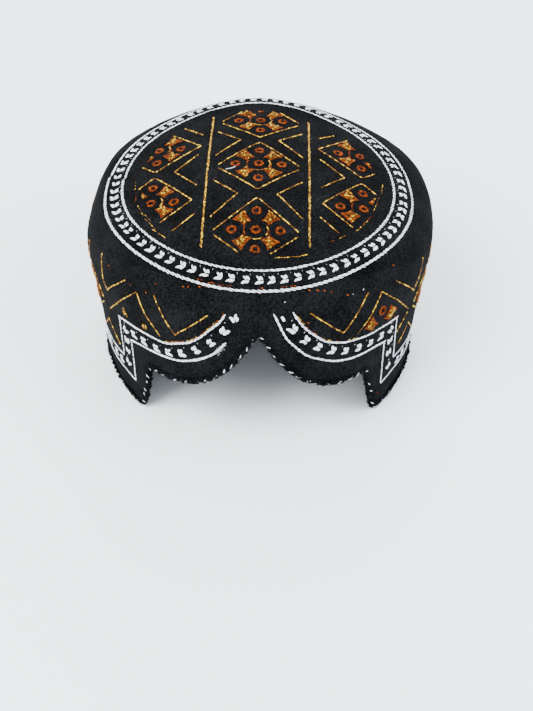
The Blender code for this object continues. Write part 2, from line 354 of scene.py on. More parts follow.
def on_crown(flat):
    """Ground of the crown: places seen from above, measured from the ring's middle."""
    spot = crown_spot(flat)
    rightward, backward = (crown_spot(flat + move) - spot for move in np.eye(2) * PROBE_STEP)
    return spot, unit(np.cross(rightward, backward))


test_spot, test_out = on_wall(np.array([[0.0, 0.08]]))
print("front of the wall, 80 mm up:", np.round(test_spot / MM, 1), "facing", np.round(test_out, 2))

# %% [markdown]
# ## Cloth finish
# The black cloth is a fine twill with a short nap. Image textures are not needed: a weave is
# two crossed waves on the piece's own UV map, which runs along and up the cloth, and the
# nap and lint are noise on Object coordinates. Both go into one node group that gives out
# a shade and a height, so that crown, wall and yarn share it with values of their own.
# The same function later makes the threads, with a group of their own.

# %% Node helpers


def node(tree, kind, **values):
    """Add a node; a value is an input when the node has one of that name, else a setting."""
    made = tree.nodes.new(kind)
    for key, value in values.items():
        label = key.replace("_", " ").title()
        if label in made.inputs:
            made.inputs[label].default_value = value
        else:
            setattr(made, key, value)
    return made


def new_group(name, inputs, outputs):
    """An empty node group with named float inputs and outputs."""
    group = bpy.data.node_groups.new(name, "ShaderNodeTree")
    for label, value in inputs:
        socket = group.interface.new_socket(name=label, in_out="INPUT", socket_type="NodeSocketFloat")
        socket.default_value = value
    for label in outputs:
        group.interface.new_socket(name=label, in_out="OUTPUT", socket_type="NodeSocketFloat")
    return group, group.nodes.new("NodeGroupInput"), group.nodes.new("NodeGroupOutput")


def maths(tree, operation, first, second):
    """A Math node; each operand is a socket or a number."""
    made = tree.nodes.new("ShaderNodeMath")
    made.operation = operation
    for slot, operand in enumerate((first, second)):
        if isinstance(operand, (int, float)):
            made.inputs[slot].default_value = operand
        else:
            tree.links.new(operand, made.inputs[slot])
    return made.outputs[0]


# %% Cloth grain group
WEAVE_TURN = 27


def build_cloth_grain():
    inputs = [("Weave", 0.5), ("Weave Scale", 1300.0), ("Nap", 0.6), ("Nap Scale", 900.0), ("Mottle", 0.3)]
    group, given, result = new_group("cloth_grain", inputs, ["Shade", "Height"])
    uv = group.nodes.new("ShaderNodeTexCoord")
    waves = []
    for turn in (0.0, 90.0):
        turned = node(group, "ShaderNodeMapping")
        turned.inputs["Rotation"].default_value = (0, 0, math.radians(turn + WEAVE_TURN))
        group.links.new(uv.outputs["UV"], turned.inputs["Vector"])
        wave = node(group, "ShaderNodeTexWave", distortion=1.2, detail=1.0, detail_scale=2.0)
        group.links.new(turned.outputs["Vector"], wave.inputs["Vector"])
        group.links.new(given.outputs["Weave Scale"], wave.inputs["Scale"])
        waves.append(wave.outputs["Fac"])
    weave = maths(group, "MULTIPLY", maths(group, "MAXIMUM", waves[0], waves[1]), given.outputs["Weave"])
    nap = node(group, "ShaderNodeTexNoise", detail=4.0, roughness=0.75)
    group.links.new(uv.outputs["Object"], nap.inputs["Vector"])
    group.links.new(given.outputs["Nap Scale"], nap.inputs["Scale"])
    fuzz = maths(group, "MULTIPLY", nap.outputs["Fac"], given.outputs["Nap"])
    patches = node(group, "ShaderNodeTexNoise", scale=60.0, detail=3.0)
    group.links.new(uv.outputs["Object"], patches.inputs["Vector"])
    mottle = maths(group, "MULTIPLY", patches.outputs["Fac"], given.outputs["Mottle"])
    height = maths(group, "ADD", weave, fuzz)
    group.links.new(height, result.inputs["Height"])
    group.links.new(maths(group, "ADD", height, mottle), result.inputs["Shade"])
    return group


cloth_grain = build_cloth_grain()
print("group", cloth_grain.name, "with", len(cloth_grain.nodes), "nodes")

# %% Cloth material


def ramp(tree, source, stops):
    """A colour ramp from a socket; stops are (place, colour) pairs."""
    made = tree.nodes.new("ShaderNodeValToRGB")
    elements = made.color_ramp.elements
    while len(elements) < len(stops):
        elements.new(0.5)
    for element, (place, colour) in zip(elements, stops):
        element.position = place
        element.color = (*colour, 1)
    tree.links.new(source, made.inputs["Fac"])
    return made.outputs["Color"]


def fibre_material(name, stops, surface, grain_group, bump, strength=1.0, **grain):
    """A finish: its shared group picks the colour from the stops and lifts the surface."""
    material, tree, shader = new_material(name, stops[0][1], surface["Roughness"])
    for label, value in surface.items():
        shader.inputs[label].default_value = value
    group = tree.nodes.new("ShaderNodeGroup")
    group.node_tree = grain_group
    for key, value in grain.items():
        group.inputs[key.replace("_", " ").title()].default_value = value
    tree.links.new(ramp(tree, group.outputs["Shade"], stops), shader.inputs["Base Color"])
    lifted = node(tree, "ShaderNodeBump", distance=bump, strength=strength)
    tree.links.new(group.outputs["Height"], lifted.inputs["Height"])
    tree.links.new(lifted.outputs["Normal"], shader.inputs["Normal"])
    return material


BLACK_STOPS = (
    (0.57, (0.0005, 0.0006, 0.0007)), (0.67, (0.0014, 0.0016, 0.0018)), (0.79, (0.0120, 0.0132, 0.0150)),
)
CLOTH_SURFACE = {"Roughness": 0.92, "Sheen Roughness": 0.45, "Specular IOR Level": 0.02}
CLOTH_BUMP_STRENGTH = 0.9
CLOTH_FINISHES = {
    # name: sheen, height of the bumps in metres, and the grain's own values
    "crown_black": (0.003, 0.00025, dict(weave=0.22, nap=0.78, nap_scale=1100.0, mottle=0.22)),
    "wall_black": (0.004, 0.00045, dict(weave=0.26, nap=0.76, nap_scale=950.0, mottle=0.24)),
    "yarn_black": (0.02, 0.00015, dict(weave=0.15, nap=0.80, nap_scale=1600.0, mottle=0.30)),
}
crown_black, wall_black, yarn_black = (
    fibre_material(
        name, BLACK_STOPS, CLOTH_SURFACE | {"Sheen Weight": sheen}, cloth_grain, bump,
        CLOTH_BUMP_STRENGTH, **grain)
    for name, (sheen, bump, grain) in CLOTH_FINISHES.items())
print("cloth finishes:", *CLOTH_FINISHES)

# %% [markdown]
# ## Crown cloth
# The crown is one round of cloth, domed, with a margin turned down to the seam. It could be
# sculpted or simulated, but stiff quilted cloth holds its form, so it is drawn by the
# formula: a filled circle of vertices is extruded ring by ring, each ring is put on the
# surface, the middle is closed with a poke, and a second skin gives it its thickness.

# %% Rings of cloth
SHARP_DEGREES = 55
CLOTH_COLUMNS = 216
LUMP_SIZE, LUMP_SCALE, SMALL_LUMP_SIZE, SMALL_LUMP_SCALE = 0.00016, 140.0, 0.5, 2.3


def grow_rings(bm, columns, rows, filled=False):
    """Extrude a circle of vertices row by row; their row and column are kept in layers."""
    row_of = bm.verts.layers.int.new("row")
    column_of = bm.verts.layers.int.new("column")
    ring = bmesh.ops.create_circle(bm, cap_ends=filled, segments=columns, radius=1.0)["verts"]
    for column, vertex in enumerate(ring):
        vertex[column_of] = column
    edges = list(bm.edges)
    for row in range(1, rows):
        grown = bmesh.ops.extrude_edge_only(bm, edges=edges)["geom"]
        new = {item for item in grown if isinstance(item, bmesh.types.BMVert)}
        for vertex in new:
            vertex[row_of] = row
        edges = [item for item in grown if isinstance(item, bmesh.types.BMEdge) and set(item.verts) <= new]
    return row_of, column_of


def wrap_cloth(bm, row_of, column_of, spots, outs, walls, flat):
    """Put each vertex on its spot, give the skin its inner face, and its UVs in metres."""
    for vertex in bm.verts:
        spot = Vector(spots[vertex[row_of], vertex[column_of]])
        small_lump = SMALL_LUMP_SIZE * noise.noise(spot * LUMP_SCALE * SMALL_LUMP_SCALE)
        lump = noise.noise(spot * LUMP_SCALE) + small_lump
        vertex.co = spot + Vector(outs[vertex[row_of], vertex[column_of]]) * lump * LUMP_SIZE
    copies = bmesh.ops.extrude_face_region(bm, geom=list(bm.faces), use_keep_orig=True)["geom"]
    for vertex in [item for item in copies if isinstance(item, bmesh.types.BMVert)]:
        out = Vector(outs[vertex[row_of], vertex[column_of]])
        vertex.co -= out * float(walls[vertex[row_of], vertex[column_of]])
    bmesh.ops.recalc_face_normals(bm, faces=bm.faces)
    uv = bm.loops.layers.uv.new("UVMap")
    girth = flat[:, :, 0].max() - flat[:, :, 0].min()
    for face in bm.faces:
        base = flat[face.loops[0].vert[row_of], face.loops[0].vert[column_of]][0]
        for loop in face.loops:
            u, v = flat[loop.vert[row_of], loop.vert[column_of]]
            loop[uv].uv = (u + girth * round((base - u) / girth) if girth else u, v)


def smooth_shaded(piece):
    piece.data.shade_smooth()
    piece.data.set_sharp_from_angle(angle=math.radians(SHARP_DEGREES))
    return piece


# %% Crown cloth
DOME_ROWS, MARGIN_ROWS = 40, 14
POLE_SHARE, SEAM_LAP = 0.03, 0.00008


def make_crown_cloth():
    angles = np.arange(CLOTH_COLUMNS) * FULL_TURN / CLOTH_COLUMNS
    shares = np.linspace(POLE_SHARE, 1.0, DOME_ROWS)
    plan = np.stack([
        RING_RADIUS * shares[:, None] * np.sin(angles),
        -RING_RADIUS * RING_OVAL * shares[:, None] * np.cos(angles),
    ], -1)
    dome_spots, dome_outs = on_crown(plan.reshape(-1, 2))
    ring_height = dome(1.0, angles)[:, 2]
    down = np.linspace(0, 1, MARGIN_ROWS + 1)[1:, None]
    heights = ring_height + (seam_height(angles) - SEAM_LAP - ring_height) * down
    side_spots, side_outs = side(np.broadcast_to(angles, heights.shape), heights)
    spots = np.concatenate([dome_spots.reshape(DOME_ROWS, -1, 3), side_spots])
    outs = np.concatenate([dome_outs.reshape(DOME_ROWS, -1, 3), side_outs])
    edge = slice(DOME_ROWS - 1, DOME_ROWS + 2)
    outs[DOME_ROWS] = unit(outs[edge].sum(0))
    bm = bmesh.new()
    row_of, column_of = grow_rings(bm, CLOTH_COLUMNS, len(spots), filled=True)
    middle = max(bm.faces, key=lambda face: len(face.verts))
    pole = bmesh.ops.poke(bm, faces=[middle])["verts"][0]
    pole[row_of], pole[column_of] = len(spots), 0
    pole_row = np.broadcast_to(dome(0.0, 0.0), (1, CLOTH_COLUMNS, 3))
    spots = np.concatenate([spots, pole_row])
    outs = np.concatenate([outs, np.broadcast_to(np.array([0.0, 0.0, 1.0]), (1, CLOTH_COLUMNS, 3))])
    walls = np.full(spots.shape[:2], CLOTH_THICKNESS)
    wrap_cloth(bm, row_of, column_of, spots, outs, walls, spots[..., :2])
    return smooth_shaded(new_object("crown_cloth", bm, crown_black))


crown_cloth = make_crown_cloth()
print("crown_cloth:", len(crown_cloth.data.polygons), "faces")

# %% [markdown]
# ## Side band
# The band is one strip of the same cloth, closed at the back. Its lower edge is cut: two
# lobes that meet in a point, a notch on each side of them, and a level hem with a rounded
# tooth where it starts. A boolean cut would leave ragged faces, so the edge is drawn first
# as an outline laid flat, with arcs at its corners, and the rings of the cloth are spread
# between that edge and the seam.

# %% Outline of the cut edge
TOOTH_ANGLE, NOTCH_ANGLE = math.radians(45.5), math.radians(38.5)
NOTCH_HEIGHT, POINT_HEIGHT, LOBE_POWER = 0.0342, 0.0720, 3.0
TOOTH_RADIUS, NOTCH_RADIUS, POINT_RADIUS = 0.0050, 0.0020, 0.0010
LOBE_STEPS, JAMB_STEPS, CORNER_STEPS, BACK_STEPS = 30, 14, 6, 70


def lobe_outline(across):
    return NOTCH_HEIGHT + (POINT_HEIGHT - NOTCH_HEIGHT) * (1 - across / NOTCH_ANGLE) ** LOBE_POWER


def rounded_corner(before, corner, after, radius):
    """Points of the arc that replaces a corner of an outline."""
    toward_before = (before - corner).normalized()
    toward_after = (after - corner).normalized()
    half_angle = toward_before.angle(toward_after) / 2
    centre = corner + (toward_before + toward_after).normalized() * radius / math.sin(half_angle)
    reach = radius / math.tan(half_angle)
    start, end = corner + toward_before * reach - centre, corner + toward_after * reach - centre
    return [centre + start.slerp(end, step / CORNER_STEPS) * radius for step in range(CORNER_STEPS + 1)]


def hem_outline():
    """Half of the finished hem laid flat, from the front point round to the back."""
    def flat(angle, height):
        return Vector((angle * GIRTH, height))

    step = NOTCH_ANGLE / LOBE_STEPS
    lobe = [flat(step * count, lobe_outline(step * count)) for count in range(1, LOBE_STEPS)]
    notch, tooth, back = flat(NOTCH_ANGLE, NOTCH_HEIGHT), flat(TOOTH_ANGLE, 0), flat(math.pi, 0)
    mirrored = Vector((-lobe[0].x, lobe[0].y))
    point_arc = rounded_corner(mirrored, flat(0, POINT_HEIGHT), lobe[0], POINT_RADIUS)
    notch_arc = rounded_corner(lobe[-1], notch, tooth, NOTCH_RADIUS)
    tooth_arc = rounded_corner(notch, tooth, back, TOOTH_RADIUS)
    jamb = [notch_arc[-1].lerp(tooth_arc[0], count / JAMB_STEPS) for count in range(1, JAMB_STEPS)]
    level = [tooth_arc[-1].lerp(back, count / BACK_STEPS) for count in range(1, BACK_STEPS + 1)]
    return point_arc[CORNER_STEPS // 2:] + lobe + notch_arc + jamb + tooth_arc + level


def lifted_edge(lift):
    """The hem moved up into the cloth by a lift, all the way round, as (angle, height)."""
    outline = hem_outline()
    half = []
    for count, spot in enumerate(outline):
        into_cloth = Vector((0, 1))
        if 0 < count < len(outline) - 1:
            along = (outline[count + 1] - outline[count - 1]).normalized()
            into_cloth = Vector((-along.y, along.x))
        moved = spot + into_cloth * lift
        half.append((moved.x / GIRTH, moved.y))
    return np.array(half + [(FULL_TURN - angle, height) for angle, height in reversed(half[1:-1])])


print("hem outline:", len(hem_outline()), "points on each half")

# %% Band cloth
BAND_ROWS = 46
CLOTH_INTO_YARN = 0.0016
EDGE_THIN, EDGE_THIN_HEIGHT = 0.45, 0.002


def levelled(outs, above):
    """Directions out of the wall, turned level toward a cut edge."""
    faded = np.clip(above / NOTCH_HEIGHT, 0, 1)
    return unit(outs * np.stack([np.ones_like(faded), np.ones_like(faded), faded], -1))


def make_band_cloth():
    edge = lifted_edge(CLOTH_INTO_YARN)
    angles = edge[:, 0]
    down = np.linspace(0, 1, BAND_ROWS)[:, None]
    top = seam_height(angles)
    heights = top + (edge[:, 1] - top) * down
    spots, outs = side(np.broadcast_to(angles, heights.shape), heights)
    to_edge = heights - edge[:, 1]
    outs = levelled(outs, to_edge)
    walls = CLOTH_THICKNESS * (1 - EDGE_THIN * bell(to_edge, EDGE_THIN_HEIGHT))
    spots = spots - outs * (CLOTH_THICKNESS - walls)[..., None] / 2
    bm = bmesh.new()
    row_of, column_of = grow_rings(bm, len(angles), BAND_ROWS)
    flat = np.stack([np.broadcast_to(angles * GIRTH, heights.shape), heights], -1)
    wrap_cloth(bm, row_of, column_of, spots, outs, walls, flat)
    return smooth_shaded(new_object("band_cloth", bm, wall_black))


band_cloth = make_band_cloth()
print("band_cloth:", len(band_cloth.data.polygons), "faces")

# %% [markdown]
# ## Thread finish
# White cotton, gold metal thread and orange silk share one group: a twist, which is a wave
# across each stitch's own UV map, and a shade that differs from stitch to stitch. That
# shade is a random number stored on the mesh as an attribute when the stitches are laid.
# The twist lifts the surface and is also added to the colour, so the grooves between the
# strands are darker there: that is painted shade.

# %% Thread group
# painted shade: the share of the twist added to the colour, darker in the grooves between strands
PLY_TURN, PAINTED_PLY_SHADE = 35, 0.5


def build_thread_twist():
    inputs = [("Twist Scale", 900.0), ("Twist", 0.5), ("Spread", 0.5), ("Grain", 0.3)]
    group, given, result = new_group("thread_twist", inputs, ["Shade", "Height"])
    uv = group.nodes.new("ShaderNodeTexCoord")
    turned = node(group, "ShaderNodeMapping")
    turned.inputs["Rotation"].default_value = (0, 0, math.radians(PLY_TURN))
    group.links.new(uv.outputs["UV"], turned.inputs["Vector"])
    ply = node(group, "ShaderNodeTexWave", distortion=1.5, detail=1.0)
    group.links.new(turned.outputs["Vector"], ply.inputs["Vector"])
    group.links.new(given.outputs["Twist Scale"], ply.inputs["Scale"])
    twist = maths(group, "MULTIPLY", ply.outputs["Fac"], given.outputs["Twist"])
    shade = node(group, "ShaderNodeAttribute", attribute_name="shade")
    spread = maths(group, "MULTIPLY", shade.outputs["Fac"], given.outputs["Spread"])
    fibre = node(group, "ShaderNodeTexNoise", scale=2600.0, detail=3.0)
    group.links.new(uv.outputs["Object"], fibre.inputs["Vector"])
    grain = maths(group, "MULTIPLY", fibre.outputs["Fac"], given.outputs["Grain"])
    group.links.new(maths(group, "ADD", twist, grain), result.inputs["Height"])
    # painted shade in the grooves between strands, plus the fibre's own random grain
    ply_shade_and_grain = maths(group, "ADD", maths(group, "MULTIPLY", twist, PAINTED_PLY_SHADE), grain)
    group.links.new(maths(group, "ADD", spread, ply_shade_and_grain), result.inputs["Shade"])
    return group


thread_twist = build_thread_twist()


WHITE_STOPS = ((0.15, (0.46, 0.48, 0.52)), (0.45, (0.70, 0.72, 0.76)), (0.85, (0.84, 0.86, 0.89)))
GOLD_STOPS = (
    (0.15, (0.029, 0.0096, 0.001)), (0.42, (0.112, 0.045, 0.003)),
    (0.70, (0.245, 0.114, 0.006)), (0.97, (0.72, 0.47, 0.035)),
)
ORANGE_STOPS = (
    (0.15, (0.022, 0.0045, 0.0005)), (0.50, (0.108, 0.018, 0.001)), (0.95, (0.27, 0.055, 0.002)),
)
THREAD_FINISHES = {
    # name: colours, roughness, metallic, specular, height of the bumps in metres, twist values
    "white_cotton": (WHITE_STOPS, 0.62, 0.0, 0.3, 0.00010, dict(spread=0.45, twist=0.35)),
    "gold_metal": (GOLD_STOPS, 0.42, 0.25, 0.12, 0.00008, dict(spread=0.90, twist=0.25)),
    "orange_silk": (ORANGE_STOPS, 0.55, 0.0, 0.05, 0.00008, dict(spread=0.60, twist=0.30)),
}
white_cotton, gold_metal, orange_silk = (
    fibre_material(
        name, stops, {"Roughness": roughness, "Metallic": metallic, "Specular IOR Level": specular},
        thread_twist, bump, **twist)
    for name, (stops, roughness, metallic, specular, bump, twist) in THREAD_FINISHES.items())
print("thread finishes:", *THREAD_FINISHES)

# %% [markdown]
# ## Laying stitches
# A stitch is a short thread that comes up through the cloth, arches over it and goes down
# again. One such shape is made from a sphere, drawn out along X and kept pointed at its
# ends. Thousands of objects would be slow, so each group of stitches is one mesh: the
# shape's vertices are copied by arrays to every stitch, spread along its flat line, and
# bent over the ground in one call. Every stitch has its own width, rise and shade.

# %% Thread shapes
HALF, TINY = 0.5, 1e-6


def thread_shape(sides, rings, fullness):
    """Vertices (along, across, up), faces and UVs of one thread of unit length and width."""
    bm = bmesh.new()
    bmesh.ops.create_uvsphere(bm, u_segments=sides, v_segments=rings, radius=HALF)
    bmesh.ops.rotate(bm, verts=bm.verts, matrix=Matrix.Rotation(math.pi / 2, 3, "Y"))
    points, around = [], []
    for vertex in bm.verts:
        polar = math.acos(max(-1.0, min(1.0, -vertex.co.x / HALF)))
        radius = math.hypot(vertex.co.y, vertex.co.z)
        grown = HALF * (radius / HALF) ** fullness / radius if radius > TINY else 0.0
        points.append((polar / math.pi, vertex.co.y * grown, vertex.co.z * grown))
        around.append(math.atan2(vertex.co.z, vertex.co.y) / FULL_TURN if radius > TINY else None)
    faces, uvs = [], []
    for face in bm.faces:
        corners = [vertex.index for vertex in face.verts]
        turns = [around[corner] for corner in corners]
        known = [turn for turn in turns if turn is not None]
        unrolled = [turn + round(known[0] - turn) if turn is not None else None for turn in turns]
        mean = sum(u for u in unrolled if u is not None) / len(known)
        uvs += [(points[c][0], mean if u is None else u) for c, u in zip(corners, unrolled)]
        faces.append(corners)
    bm.free()
    return np.array(points), faces, np.array(uvs)


LAID = thread_shape(6, 6, 0.50)
FINE = thread_shape(5, 5, 0.55)
HAIR = thread_shape(3, 4, 0.70)
WRAP = thread_shape(6, 14, 0.35)
print("faces of one stitch:", [len(shape[1]) for shape in (LAID, FINE, HAIR, WRAP)])

# %% Sewing
SEED = 5
THICK_SHARE, SINK, ARCH = 0.8, 0.35, 0.60
rng = np.random.default_rng(SEED)


def stitch(start, end, width, thick=None, low=None, high=None, arch=None):
    """One stitch as a row of numbers; it starts and ends sunk in the cloth unless told."""
    thick = width * THICK_SHARE if thick is None else thick
    low = -SINK * thick if low is None else low
    high = low if high is None else high
    arch = ARCH * thick if arch is None else arch
    return (*start, *end, width, thick, low, high, arch, rng.random())


def sew(name, stitches, ground, material, shape=LAID):
    """Lay every stitch on its ground as one mesh with its material, and give the piece its body."""
    rows = np.array(stitches)
    start, end = rows[:, 0:2], rows[:, 2:4]
    width, thick, low, high, arch, shade = rows[:, 4:].T[..., None]
    points, faces, uvs = shape
    along, across, up = points.T
    span = end - start
    length = np.linalg.norm(span, axis=1)
    beside = np.stack([-span[:, 1], span[:, 0]], -1) / length[:, None]
    flat = start[:, None] + span[:, None] * along[:, None] + beside[:, None] * (across * width)[..., None]
    lift = low + (high - low) * along + arch * np.sin(math.pi * along) + up * thick
    spot, out = ground(flat.reshape(-1, 2))
    places = spot + out * lift.reshape(-1, 1)
    count = len(points)
    all_faces = [[corner + count * copy for corner in face] for copy in range(len(rows)) for face in faces]
    mesh = bpy.data.meshes.new(name)
    mesh.from_pydata(places.tolist(), [], all_faces)
    mesh.materials.append(material)
    layer = mesh.uv_layers.new(name="UVMap")
    sizes = np.repeat(np.stack([length, width[:, 0] * math.pi], -1), len(uvs), axis=0)
    layer.data.foreach_set("uv", (np.tile(uvs, (len(rows), 1)) * sizes).ravel())
    tone = mesh.attributes.new("shade", "FLOAT", "POINT")
    tone.data.foreach_set("value", np.repeat(shade, count, axis=1).ravel())
    mesh.shade_smooth()
    piece = link_object(name, mesh)
    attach(piece, "root")
    print(f"{name}: {len(rows)} stitches, {len(all_faces)} faces")
    return piece


# %% Paths
LENGTH_RANGE, WIDTH_RANGE, STEP_WANDER = (0.88, 1.10), (0.86, 1.12), 0.05


def smooth_path(points, steps=10):
    """A rounded path through a few flat points (a Catmull-Rom curve)."""
    points = np.array(points, float)
    padded = np.concatenate([[2 * points[0] - points[1]], points, [2 * points[-1] - points[-2]]])
    path = []
    for before, first, second, after in zip(padded, padded[1:], padded[2:], padded[3:]):
        for t in np.arange(steps) / steps:
            path.append(0.5 * (
                2 * first + (second - before) * t + (2 * before - 5 * first + 4 * second - after) * t ** 2
                + (3 * first - before - 3 * second + after) * t ** 3))
    return np.array(path + [points[-1]])


def run_lengths(path):
    """Distance along a path at each of its points."""
    return np.concatenate([[0], np.cumsum(np.linalg.norm(np.diff(path, axis=0), axis=1))])


def even_steps(path, spacing):
    """Places at even steps along a path, with the direction there."""
    path = np.array(path, float)
    runs = run_lengths(path)
    count = max(1, round(runs[-1] / spacing))
    middles = (np.arange(count) + 0.5) * runs[-1] / count
    behind, places, ahead = (
        np.stack([np.interp(middles + shift, runs, path[:, axis]) for axis in (0, 1)], -1)
        for shift in (-spacing / 4, 0, spacing / 4))
    return places, unit(ahead - behind)


def turned(vector, degrees):
    angle = math.radians(degrees)
    x, y = vector
    return np.array([x * math.cos(angle) - y * math.sin(angle), x * math.sin(angle) + y * math.cos(angle)])


def run_stitches(path, spacing, length, width, slant=0, waver=6, strands=1, apart=0, stray=0, **more):
    """Stitches one after another along a path, each slanted and a little out of line."""
    laid = []
    for place, ahead in zip(*even_steps(path, spacing)):
        beside = np.array([-ahead[1], ahead[0]])
        for strand in range(strands):
            line = turned(ahead, slant + rng.normal(0, waver))
            offset = beside * ((strand - (strands - 1) / 2) * apart + rng.normal(0, stray))
            half = line * length * rng.uniform(*LENGTH_RANGE) / 2
            wide = width * rng.uniform(*WIDTH_RANGE)
            onward = spacing * strand / strands + rng.normal(0, spacing * STEP_WANDER)
            middle = place + offset + ahead * onward
            laid.append(stitch(middle - half, middle + half, wide, **more))
    return laid


def dash(middle, length, degrees):
    """The two ends of a short straight line about a middle."""
    half = turned((length / 2, 0), degrees)
    return [middle - half, middle + half]


print("places on 10 mm at 2.5 mm steps:", len(even_steps([(0, 0), (10 * MM, 0)], 2.5 * MM)[0]))


# %% [markdown]
# ## White rings
# Two heavy white lines circle the crown, each a rope of slanted overlapping stitches. Short
# pairs of strands, laid askew of the circle and longer than their spacing, overlap into
# that rope by themselves. Each rope was sewn as a line that comes back to its own start, so
# its path drifts a little and leaves a step at the joint.

# %% White rings
INNER_RING, OUTER_RING = 68.05 * MM, 77.2 * MM
INNER_JOINT, OUTER_JOINT, JOINT_GAP = 266, 262, 0.002
RING_DRIFT, RING_STEPS = 0.7 * MM, 360
ROPE = dict(spacing=2.6 * MM, length=3.7 * MM, width=0.62 * MM, thick=0.44 * MM, slant=-13, waver=3.5,
            strands=2, apart=0.42 * MM, stray=0.04 * MM, arch=0.14 * MM)
FRONT_STRAY, FRONT_POWER = 1.25 * MM, 0.7
LEFT_STRAY, LEFT_POWER, LEFT_MIDDLE = 1.1 * MM, 4, math.radians(250)


def ring_stray(turn):
    """How far the outer line strays from its circle: out at the front, in at the left."""
    front = FRONT_STRAY * np.maximum(np.cos(turn), 0) ** FRONT_POWER
    return front - LEFT_STRAY * np.maximum(np.cos(turn - LEFT_MIDDLE), 0) ** LEFT_POWER


def ring_path(radius, joint, stray):
    """Once round the crown from a joint, given in degrees from the front."""
    done = np.linspace(JOINT_GAP, 1 - JOINT_GAP, RING_STEPS)
    turns = math.radians(joint) + done * FULL_TURN
    radii = radius + RING_DRIFT * (0.5 - done) + stray * ring_stray(turns)
    return np.stack([radii * np.sin(turns), -radii * RING_OVAL * np.cos(turns)], -1)


ring_rope = run_stitches(ring_path(INNER_RING, INNER_JOINT, 0), **ROPE)
ring_rope += run_stitches(ring_path(OUTER_RING, OUTER_JOINT, 1), **ROPE)
sew("ring_lines", ring_rope, on_crown, white_cotton)

# %% [markdown]
# ## White arrows between the rings
# Between the lines runs a row of small arrows. Each is a handful of threads in two arms:
# the inner arm is forked at its end, the outer one sweeps back to a tail. The threads are
# written once in the arrow's own frame, forward and outward, and turned into place for
# every arrow. Behind each arrow a thin end comes up by the inner line.

# %% Arrow motif
ARROW_THREADS = (
    # forward and outward of the start, forward and outward of the end, in millimetres
    (1.8, 0.2, 0.7, -2.1), (1.2, 0.2, 0.2, -2.0), (0.6, 0.2, -0.4, -1.2), (0.3, -0.1, -1.2, -2.1),
    (1.8, 0.1, 0.7, 1.9), (1.2, 0.1, -0.1, 2.0), (0.7, 0.1, -0.9, 2.1), (0.2, 0.3, -1.8, 2.1),
)
ARROW_WIDTH, ARROW_THICK, ARROW_ARCH = 0.78 * MM, 0.38 * MM, 0.16 * MM
ARROW_SIZES = (1.02, 1.14)


def arrow(place, forward, outward, size=1.0, swell=1.12, jitter=0.13, threads=ARROW_THREADS):
    """Threads of one arrow; it points along forward."""
    laid = []
    for values in threads:
        a0, b0, a1, b1 = (value * MM * size + rng.normal(0, jitter * MM) for value in values)
        start, end = place + forward * a0 + outward * b0, place + forward * a1 + outward * b1
        laid.append(stitch(start, end, ARROW_WIDTH * swell, ARROW_THICK * swell, arch=ARROW_ARCH * swell))
    return laid


def ring_place(turn, radius, stray):
    """A place on the crown's flat plan, with the directions along the ring and out of it."""
    outward = np.array([math.sin(turn), -math.cos(turn)])
    forward = np.array([math.cos(turn), math.sin(turn)])
    return outward * (radius + stray * ring_stray(turn)) * np.array([1, RING_OVAL]), forward, outward


# %% Arrows and ticks of the ring
RING_ARROWS = 75
ARROW_RING, ARROW_STRAY, ARROW_WANDER = 72.6 * MM, 0.5, 0.05
TICK_RING, TICK_STRAY, TICK_WANDER = 70.0 * MM, 0.3, 0.06
TICK_WIDTH, TICK_HALVES, TICK_LEAN = 0.10 * MM, (0.4, 0.8), 0.2 * MM


def ring_arrows():
    laid = []
    for count in range(RING_ARROWS):
        turn = FULL_TURN * (count + rng.normal(0, ARROW_WANDER)) / RING_ARROWS
        place, forward, outward = ring_place(turn, ARROW_RING, ARROW_STRAY)
        laid += arrow(place, forward, outward, size=rng.uniform(*ARROW_SIZES))
    return laid


def ring_ticks():
    laid = []
    for count in range(RING_ARROWS):
        turn = FULL_TURN * (count + 0.5 + rng.normal(0, TICK_WANDER)) / RING_ARROWS
        place, forward, outward = ring_place(turn, TICK_RING, TICK_STRAY)
        half = outward * rng.uniform(*TICK_HALVES) * MM + forward * rng.normal(0, TICK_LEAN)
        laid.append(stitch(place - half, place + half, TICK_WIDTH, TICK_WIDTH))
    return laid


sew("ring_arrows", ring_arrows(), on_crown, white_cotton, FINE)
sew("ring_ends", ring_ticks(), on_crown, white_cotton, FINE)

# %% [markdown]
# ## Gold outlines
# The crown is cut from cloth that was embroidered in a repeat: columns of diamonds, with
# chevrons in the gaps and straight lines between the columns. So the repeat is written
# once, as flat paths, and a round mask cuts it off before the rings, as the scissors did.
# The thin lines are single stitches end to end; the straight ones are twice as thick.

# %% The repeat
COLUMN_STEP, ROW_STEP = 51.8 * MM, 46.7 * MM
DIAMOND_HALF_WIDTH, DIAMOND_HALF_HEIGHT = 20.1 * MM, 20.7 * MM
SIDE_DIAMONDS = ((-23.85 * MM, 20.2 * MM), (22.05 * MM, 21.8 * MM))
EYE_X, EYE_Y = 11.5 * MM, 11.9 * MM
CORNER_GAP, TIP_ROUND, TIP_FLAT, INNER_SAG = 2.8 * MM, 1.2 * MM, 0.4, 1.5 * MM
THIN = dict(spacing=1.25 * MM, length=1.60 * MM, width=0.66 * MM, waver=8.0, stray=0.06 * MM)
THICK = dict(spacing=1.05 * MM, length=1.75 * MM, width=0.54 * MM, waver=10.0, strands=2, apart=0.42 * MM,
             stray=0.08 * MM)
FAINT = dict(spacing=1.4 * MM, length=1.75 * MM, width=0.48 * MM, waver=10.0, stray=0.10 * MM)


